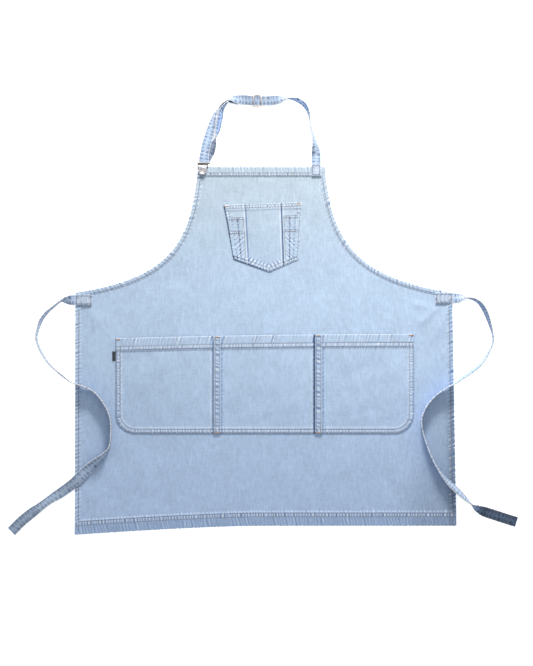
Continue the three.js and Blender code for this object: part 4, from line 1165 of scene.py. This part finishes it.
def strap_mesh(name, node, route, width, thickness, seed, body,
               tone=lambda share: 1.0, back_tone=lambda share: 1.0, ends=(0, 0)):
    """A strap along a route: tone and back_tone brighten it along its way, ends are lengths that thin out."""
    centre, across, up = strap_frames(route, width, thickness)
    section = strap_section(width, thickness)
    s = arc(centre)
    lift = lie(centre[:, 0], centre[:, 1]) * np.clip((440 - np.abs(centre[:, 0])) / 30, 0, 1)
    centre = centre.copy()
    centre[:, 2] += lift
    places = np.broadcast_to(section[:, 0], (len(s), len(section)))
    lengths = np.broadcast_to(s[:, None], places.shape)
    relief, wear_and_shade = strap_surface(lengths, places, width, seed)
    is_top = section[:, 1] >= 0
    heights = section[:, 1] + relief * np.where(is_top, 1, -1) * (np.abs(section[:, 1]) > thickness * 0.3)
    scallop = 1 + 0.02 * np.where(places > 0, pucker(lengths, seed, 8.0), pucker(lengths, seed + 7, 8.0))
    taper = np.ones(len(s))
    for end, size in zip((0, -1), ends):
        if size:
            away = np.abs(s - s[end])
            taper *= 0.55 + 0.45 * np.sqrt(np.clip(away / size, 0, 1))
    rings = centre[:, None] + across[:, None] * (places * scallop)[..., None]
    rings = rings + up[:, None] * (heights * taper[:, None])[..., None]
    face = worn_and_shaded(np.broadcast_to(strap_face, (*places.shape, 3)), wear_and_shade)
    back_level = np.broadcast_to(back_tone(s / s[-1]), s.shape)[:, None, None]
    plain_back = np.broadcast_to(strap_back, (*places.shape, 3))
    back = mix(plain_back, strap_face * 0.85, np.clip(0.28 + 1.7 * wear_and_shade, 0, 0.95))
    back = mix(back, navy, np.clip(-0.1 - 1.4 * wear_and_shade, 0, 0.9)) * back_level
    colour = np.where(is_top[None, :, None], face, back)
    rim = np.clip(np.abs(section[:, 0]) - (width / 2 - thickness * 0.42), 0, 1) / (thickness * 0.42)
    rim = np.clip(rim * 1.6, 0, 1) * np.ones((len(s), 1))
    level = np.broadcast_to(tone(s / s[-1]), s.shape)[:, None, None]
    colour = mix(colour, cream_edge, rim * (0.6 + 0.3 * wear_and_shade)) * level
    points, faces = tube(rings)
    piece = make(name, points, faces, strap_denim, colour, body, node=node, slot="denim_strap")
    return piece, centre, across, up


def strap_threads(name, frames, width, thickness, body, margin=3):
    centre, across, up = frames
    s = arc(centre)
    keep = (s > margin) & (s < s[-1] - margin)
    runs = []
    for side in (-1, 1):
        place = side * (width / 2 - 3)
        for face in (1, -1):
            lift = face * (thickness / 2 - 0.12)
            path = centre + across * place + up * lift
            runs.append((path[keep], up[keep] * face))
    return stitch_runs(name, runs, pitch=3.2, length=2.4, radius=0.32, body=body)


tie_left_route = [
    [-396.5, 25, 0, on_hem], [-407.5, 25, -20, 2], [-417, 24.5, -50, 0.5], [-427.5, 22.5, -85, 0],
    [-443, 10.5, -84, 0], [-458, -2.5, -78, 0], [-469.5, -19, -76, 0], [-475.5, -38, -82, 0],
    [-478, -54, -86, 0], [-474.5, -69.5, -87, 0], [-465.5, -88.5, -88, 0], [-452.5, -107.5, -89, 0],
    [-438.5, -121.5, -93, 0], [-422, -135.5, -98, 0.5], [-406.5, -147, -93, on_hem],
    [-394, -151.5, -90, on_edge_hem], [-375.5, -157.5, -90, on_edge_hem],
    [-357, -168, -90, on_panel], [-342.5, -184, -90, on_panel], [-330.5, -204, -90, on_panel],
    [-323, -226, -90, on_panel], [-322, -254.5, -90, on_panel], [-325.5, -283.5, -87, on_panel],
    [-338, -301.5, -65, on_panel], [-357, -318.5, -35, on_panel], [-378, -337, -10, on_edge_hem],
    [-402, -360.5, 0, on_edge_hem], [-425.5, -378, 10, 1], [-450.5, -394, 40, 0],
    [-471.5, -409.5, 35, 0], [-490.5, -423.5, 10, 0], [-509.5, -439, 0, 0], [-531.5, -461, 0, 0],
]
tie_right_route = [
    [393.5, 29, 0, on_hem], [404, 29, -20, 2], [413.5, 30, -55, 0.5], [423, 30, -88, 0],
    [435.5, 28, -97, 0], [448.5, 21.5, -103, 0], [459, 9, -109, 0], [467, -7.5, -108, 0],
    [473, -25.5, -101, 0], [477.5, -42, -92, 0], [479.5, -57, -90, 0], [476.5, -70.5, -90, 0],
    [469, -85, -94, 0], [460, -101, -97, 0], [447, -115.5, -100, 0], [429.5, -128.5, -101, 0],
    [412.5, -140, -98, 1], [400, -149.5, -93, on_hem], [383, -158.5, -90, on_edge_hem],
    [360, -174.5, -90, on_panel], [341, -195.5, -90, on_panel], [332, -213.5, -90, on_panel],
    [328.5, -227, -90, on_panel], [330.5, -246, -90, on_panel], [336, -267, -90, on_panel],
    [345.5, -294, -90, on_panel], [359.5, -322.5, -86, on_panel], [376, -346.5, -74, on_edge_hem],
    [390.5, -362.5, -62, on_edge_hem], [404, -375, -60, on_hem], [420, -390, -70, 0.5],
    [434, -403, -92, 0], [448.5, -413, -135, 0], [464, -420, -170, 0], [482, -426, -180, 0],
    [505, -433.5, -180, 0], [529, -441, -180, 0],
]
neck_route = [
    [108.5, 309.5, 0, on_hem], [108.5, 318, 0, 1.8], [108.5, 329.5, 8, 0.3], [107.5, 339, 30, 0],
    [106, 352.5, 60, 0], [102.5, 369.5, 75, 0], [98, 386, 86, 0], [95.5, 404, 92, 0],
    [92, 421, 103, 0], [84, 434.5, 113, 0], [72.5, 443, 113, 0], [61, 447, 102, 0],
    [50.5, 448, 90, 0], [40, 447.3, 62, 0], [29, 445.5, 30, 0.3], [17.5, 444, 7, 1.6],
    [6.5, 443.5, 0, over_return], [-4, 443.5, 0, over_return], [-15, 443.5, 0, over_return],
    [-30.5, 444, 0, over_return], [-45, 445, 0, over_return], [-59, 446, 24, over_return + 0.6],
    [-70.5, 446.5, 64, 2], [-81, 442.5, 88, 0], [-91.5, 433.5, 92, 0], [-100, 423, 80, 0],
    [-105, 410.5, 62, 0], [-109, 396.5, 45, 0], [-113, 382, 30, 1], [-118, 365, 18, 2],
    [-122.5, 348.5, 14, 3], [-126, 331.5, 4, 4], [-128, 314.6, 0, 4],
]
return_route = [
    [-26, 443.5, 0, 0], [-36, 446, 0, 0], [-47, 446.5, 0, 0], [-58.5, 444.6, 15, 0],
    [-69, 441.5, 54, 0], [-78.8, 438.5, 92, 0], [-87, 429.5, 105, 0], [-91.5, 419, 115, 0],
    [-92.5, 409, 122, 0], [-94.5, 400, 122, 0], [-97.5, 384, 120, 0], [-102, 366, 90, 0],
    [-108, 348.5, 45, 0], [-115, 334, 10, 0], [-120.5, 325.5, 2, 0.1], [-123, 317.5, 0, gap],
]


def free_strap(name, node, body, route, width, thickness, seed, root_bend=None, **more):
    """A strap and its threads.

    root_bend, when given, leaves the strap and threads on no body with their transforms baked in; its points
    are not used.
    """
    rider = None if root_bend else body
    piece, centre, across, up = strap_mesh(name, node, route, width, thickness, seed, rider, **more)
    threads = strap_threads("thread_" + name, (centre, across, up), width, thickness, rider)
    if root_bend:
        for mesh in (piece, threads):
            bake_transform(mesh)
    return piece, threads, centre


tie_bends = {"left": ((-397.5, 25, 4), (-418.3, 9.4, 4)), "right": ((395.5, 29, 4), (412.7, 16.1, 4))}
tie_backs = {
    "left": lambda share: 1.6,
    "right": lambda share: (1.35 + 1.65 * smooth(share, 0.17, 0.24) - 1.75 * smooth(share, 0.73, 0.79)
                            - 0.8 * smooth(share, 0.85, 0.9)),
}
tie_faces = {"left": lambda share: 1 - 0.24 * smooth(share, 0.7, 0.78), "right": lambda share: 1.0}
for side, route in (("left", tie_left_route), ("right", tie_right_route)):
    piece, threads, centre = free_strap("tie_" + side, "waist_tie_" + side, "tie_" + side, route,
                                        tie_width, tie_thickness, 91 if side == "left" else 95,
                                        root_bend=tie_bends[side],
                                        tone=tie_faces[side], back_tone=tie_backs[side],
                                        ends=(0, 5))
    arc(centre)[-1] * MM
    [tuple(p) for p in centre * MM]
neck_bend = ((0, 308.5, 4), (0, 318.5, 4))
free_strap("neck_strap_front", "neck_strap", "neck_loop", neck_route, strap_width, strap_thickness, 97,
           tone=lambda share: 0.94 - 0.27 * smooth(share, 0.36, 0.42) + 0.33 * smooth(share, 0.62, 0.72),
           root_bend=neck_bend, back_tone=lambda share: 1.9)
free_strap("neck_strap_back_ply", "neck_strap_return", "neck_loop", return_route,
           strap_width, strap_thickness, 99,
           tone=lambda share: 0.74, back_tone=lambda share: 2.0)


# ---- sewn ends: folded straps stitched down in a box ----
def sewn_end(name, node, stitch_node, box_name, seed, runs_along_x):
    """A strap's folded end where the CAD has it, with a box of stitches."""
    low, high = box_of(node)
    size = high - low
    nx, ny = (40, 28) if runs_along_x else (26, 32)
    u = np.sort(np.concatenate([[0, 0.012, 0.03, 0.97, 0.988, 1], np.linspace(0.05, 0.95, nx)]))
    v = np.sort(np.concatenate([[0, 0.012, 0.03, 0.97, 0.988, 1], np.linspace(0.05, 0.95, ny)]))
    x = low[0] + size[0] * u[None, :] + 0 * v[:, None]
    y = high[1] - size[1] * v[:, None] + 0 * u[None, :]
    dx = np.minimum(x - low[0], high[0] - x)
    dy = np.minimum(y - low[1], high[1] - y)
    inset = np.minimum(dx, dy)
    s = np.where(dx < dy, y, x)
    relief, wear_and_shade = seam_field(s, inset, (2.5,), seed, 7.5, 0.4, 0.4, 0.5, 0.75)
    top = lie(x, y) + high[2] + relief
    under = lie(x, y) + low[2] - 0.2
    fold = np.sqrt(1 - (1 - np.clip(inset / 1.2, 0, 1)) ** 2)
    middle = (top + under) / 2
    top, under = middle + (top - middle) * fold, middle - (middle - under) * fold
    colour = worn_and_shaded(np.broadcast_to(box_blue, (*x.shape, 3)), wear_and_shade)
    sheet(name, x, y, top + 0.01, under, strap_denim, colour, node=node, slot="denim_strap")
    a, b = size[0] / 2 - 2.5, size[1] / 2 - 2.5
    cx, cy = (low[0] + high[0]) / 2, (low[1] + high[1]) / 2
    corners = resample([(cx + a, cy + b), (cx + a, cy - b), (cx - a, cy - b),
                        (cx - a, cy + b), (cx + a, cy + b)], 0.6)
    z = lie(corners[:, 0], corners[:, 1]) + high[2] - thread_lift
    return stitch_runs(box_name, [(np.column_stack([corners, z]), UP)], stitch_node, **fine_stitch)


sewn_end("tie_box_left", "waist_tie_left_end", "stitch_tie_left_box", "thread_tie_box_left", 101, True)
sewn_end("tie_box_right", "waist_tie_right_end", "stitch_tie_right_box", "thread_tie_box_right", 103, True)
sewn_end("neck_box", "neck_strap_end", "stitch_neck_box", "thread_neck_box", 105, False)


# ---- jeans button ----
def turned(profile, centre, sides=72, relief=None):
    """Points and faces of a turned part from [radius, height] down its outside, with an optional relief."""
    profile = np.asarray(profile, dtype=float)
    angle = np.linspace(0, 2 * math.pi, sides, endpoint=False)
    radius = np.broadcast_to(profile[:, :1], (len(profile), sides)).copy()
    height = np.broadcast_to(profile[:, 1:], radius.shape).copy()
    if relief is not None:
        height = height + relief(radius, angle)
    points = np.stack([centre[0] + radius * np.cos(angle), centre[1] + radius * np.sin(angle),
                       centre[2] + height], axis=-1)
    faces = grid_faces(len(profile), sides, wrap=True)
    caps = np.stack([np.arange(sides), np.arange(sides)[::-1] + (len(profile) - 1) * sides])
    return points.reshape(-1, 3), [faces, caps]


cap_low, cap_high = box_of("button_cap")
button_x, button_y = (cap_low[:2] + cap_high[:2]) / 2
button_radius = (cap_high[0] - cap_low[0]) / 2
cap_top = cap_high[2]
cap_profile = [
    (0.12, -0.34), (0.9, -0.36), (1.7, -0.42), (2.6, -0.52), (3.1, -0.5), (3.4, -0.3), (3.8, -0.24),
    (4.3, -0.34), (4.9, -0.52), (5.4, -0.5), (5.75, -0.24), (6.3, -0.06), (7.0, 0), (7.7, -0.14),
    (8.3, -0.55), (8.75, -1.15), (8.98, -1.9), (8.95, -2.6), (8.6, -3.3), (8.0, -3.8), (7.3, -3.95),
    (4.0, -3.95), (3.4, -4.3), (3.4, -6.2), (2.2, -6.25), (0.4, -6.25),
]


def cap_relief(radius, angle):
    """A ring of plain beads between the middle and the rim."""
    bead = np.clip(np.cos(angle * 12), 0, 1) ** 2
    rays = 0.1 * np.cos(angle * 8) * ridge(radius - 1.8, 0.9)
    return 0.3 * bead * ridge(radius - 5.0, 0.5) + rays


scale = button_radius / max(r for r, z in cap_profile)
points, faces = turned([(r * scale, z) for r, z in cap_profile], (button_x, button_y, cap_top),
                       relief=cap_relief)
make("button_face", points, faces, pewter, body="button", sharp=0, node="button_cap", slot="pewter")


# ---- buckle, slider and pin ----
def rod(path, radius, closed=False, sides=14, caps=True):
    """Points and faces of a round wire along a path."""
    path = np.asarray(path, dtype=float)
    if closed:
        run = unit(np.roll(path, -1, axis=0) - np.roll(path, 1, axis=0))
    else:
        run = unit(np.gradient(path, axis=0))
    side = unit(np.cross(run, [0, 0, 1]) + 1e-6)
    up = np.cross(side, run)
    angle = np.arange(sides) * 2 * math.pi / sides
    radius = np.broadcast_to(np.asarray(radius, dtype=float), (len(path),))
    ring = side[:, None] * np.cos(angle)[:, None] + up[:, None] * np.sin(angle)[:, None]
    points = path[:, None] + ring * radius[:, None, None]
    if closed:
        points = np.concatenate([points, points[:1]])
        faces = grid_faces(len(path) + 1, sides, wrap=True) % (len(path) * sides)
        return points[:-1].reshape(-1, 3), [faces]
    faces = grid_faces(len(path), sides, wrap=True)
    ends = np.stack([np.arange(sides), np.arange(sides)[::-1] + (len(path) - 1) * sides])
    return points.reshape(-1, 3), [faces, ends]


def rounded_rod(start, end, radius, sides=14):
    """A straight rod with rounded tips."""
    start, end = np.asarray(start, dtype=float), np.asarray(end, dtype=float)
    run = unit(end - start)
    length = np.linalg.norm(end - start)
    at = np.array([0, 0.12, 0.3, 0.6, 1]) * radius
    fat = np.sqrt(1 - (1 - np.array([0.04, 0.12, 0.3, 0.6, 1])) ** 2) * radius
    s = np.concatenate([at, length - at[::-1]])
    return rod(start + run * s[:, None], np.concatenate([fat, fat[::-1]]), sides=sides)


def bar_block(low, high, bevel):
    """A bar with rounded long edges, from its lowest to its highest corner."""
    low, high = np.asarray(low, dtype=float), np.asarray(high, dtype=float)
    axis = int(np.argmax(high - low))
    others = [k for k in range(3) if k != axis]
    turn = np.linspace(0, math.pi / 2, 5)
    ring = []
    for sa, sb, swap in ((1, 1, False), (-1, 1, True), (-1, -1, False), (1, -1, True)):
        for t in (turn[::-1] if swap else turn):
            ring.append((sa * (1 - math.cos(t)), sb * (1 - math.sin(t)), sa, sb))
    rings = []
    for place, shrink in ((low[axis], 1), (low[axis] + bevel, 0), (high[axis] - bevel, 0), (high[axis], 1)):
        points = np.zeros((len(ring), 3))
        points[:, axis] = place
        for n, (da, db, sa, sb) in enumerate(ring):
            for k, sign, drop in ((others[0], sa, da), (others[1], sb, db)):
                edge = high[k] if sign > 0 else low[k]
                points[n, k] = edge - sign * bevel * (abs(drop) + shrink * 0.6 * (1 - abs(drop)))
        rings.append(points)
    rings = np.array(rings)
    faces = grid_faces(len(rings), rings.shape[1], wrap=True)
    ends = np.stack([np.arange(len(ring)), np.arange(len(ring))[::-1] + 3 * len(ring)])
    return rings.reshape(-1, 3), [faces, ends]


wire_z = on_hem + 1
bar_rise, loop_radius, wire_half = 13, 6.6, 9.5
wire_points = [
    (-wire_half, bar_rise), (wire_half, bar_rise), (wire_half + 0.6, bar_rise - 4), (loop_radius + 0.6, 3.5),
    (loop_radius, -1.5), (loop_radius * 0.62, -loop_radius * 0.95), (0, -loop_radius * 1.2),
    (-loop_radius * 0.62, -loop_radius * 0.95), (-loop_radius, -1.5), (-loop_radius - 0.6, 3.5),
    (-wire_half - 0.6, bar_rise - 4),
]


def closed_curve(points, steps, tension):
    points = np.asarray(points, dtype=float)
    count = len(points)
    p = np.arange(count * steps) / steps
    i = p.astype(int)
    w = (p - i)[:, None]
    a, b, c, d = (points[(i + k) % count] for k in (-1, 0, 1, 2))
    t1, t2 = tension * (c - a), tension * (d - b)
    return b + t1 * w + (3 * (c - b) - 2 * t1 - t2) * w**2 + (2 * (b - c) + t1 + t2) * w**3


loop = closed_curve(wire_points, 9, 0.35)
loop = np.column_stack([loop[:, 0] + button_x, loop[:, 1] + button_y, np.full(len(loop), wire_z)])
points, faces = rod(loop, 1.0, closed=True)
make("buckle_loop", points, faces, bronze, sharp=0, node="buckle_wire", slot="bronze_wire")

low, high = box_of("buckle_bar")
curl = 1.6
parts = [bar_block((low[0] + curl, low[1], low[2]), (high[0] - curl, high[1], low[2] + 1.15), 0.3)]
for end in (low[0] + curl, high[0] - curl):
    side = -1 if end < button_x else 1
    turn = np.linspace(-0.5 * math.pi, 1.15 * math.pi, 22)
    spiral = 1.15 - 0.02 * np.arange(22)
    roll = np.column_stack([side * np.cos(turn), np.zeros(22), np.sin(turn)])
    axle = np.array([end, 0, low[2] + curl])
    corners = []
    for y_edge, offset in ((low[1], 0.42), (high[1], 0.42), (high[1], -0.42), (low[1], -0.42)):
        corners.append(axle + roll * (spiral[:, None] + offset) + np.array([0, y_edge, 0]))
    parts.append(tube(np.stack(corners, axis=1)))
points, faces = joined(parts)
make("buckle_top_bar", points, faces, bronze, node="buckle_bar", slot="bronze_wire")

low, high = box_of("slider_frame")
parts = []
for y0, y1 in ((low[1], low[1] + 1.4), (high[1] - 1.4, high[1])):
    parts.append(bar_block((low[0], y0, low[2]), (high[0], y1, high[2]), 0.35))
for x0, x1 in ((low[0], low[0] + 2), (high[0] - 2, high[0])):
    parts.append(bar_block((x0, low[1] + 0.9, high[2] - 1.7), (x1, high[1] - 0.9, high[2]), 0.6))
points, faces = joined(parts)
make("slider_body", points, faces, slider_metal, body="slider", node="slider_frame", slot="bronze_wire")

low, high = box_of("slider_pin")
middle = (low + high) / 2
points, faces = rounded_rod((middle[0], low[1], middle[2]), (middle[0], high[1], middle[2]), 0.9)
make("slider_loose_pin", points, faces, pewter, body="slider", sharp=0, node="slider_pin", slot="pewter")


# ---- side label: a folded tab of black tape ----
tape = tape_material("black_tape")
low, high = box_of("side_label")
u = np.linspace(0, 1, 14)
v = np.linspace(0, 1, 24)[:, None]
x = high[0] - (high[0] - low[0]) * u + 0 * v
y = high[1] - (high[1] - low[1]) * v + 0 * u
curl_up = 0.9 * (u**2) * (0.6 + 0.4 * np.cos(v * 5))
fold = np.sqrt(1 - (np.clip((u - 0.88) / 0.12, 0, 1)) ** 2)
# The root lies flat and thin at the height of its seam, which leaves room to flip.
free = smooth(u, 0, 0.3)
centre = (lie(x, y) + cloth + 0.35 + curl_up) * free + (low[2] + 0.75) * (1 - free)
half = (0.27 + 0.13 * free) * fold
points, faces = shell(np.stack([x, y, centre + half], axis=-1), np.stack([x, y, centre - half], axis=-1))
make("side_tab", points, faces, tape, body="label", node="side_label", slot="label_cloth")

# ---- the button's inner pieces, which stay as the CAD has them ----
core_material = metal_material("core_black", (0.03, 0.03, 0.03), (0.015, 0.015, 0.015), 0.5)
for node, material in (("button_tack", pewter), ("button_core", core_material)):
    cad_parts[node].data.materials.clear()
    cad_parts[node].data.materials.append(material)

# ---- floor ----
floor_mesh = bpy.data.meshes.new("floor")
reach = 6.0
floor_corners = [(-reach, -reach, 0), (reach, -reach, 0), (reach, reach, 0), (-reach, reach, 0)]
floor_mesh.from_pydata(floor_corners, [], [(0, 1, 2, 3)])
floor = bpy.data.objects.new("floor", floor_mesh)
bpy.context.scene.collection.objects.link(floor)
white = Surface("white_floor", textured=False)
white.set(Base_Color=(0.97, 0.97, 0.97, 1), Roughness=0.9, Specular_IOR_Level=0.1,
          Emission_Color=(1, 1, 1, 1), Emission_Strength=0.6)
floor_mesh.materials.append(white.material)
floor.location.z = -0.0002
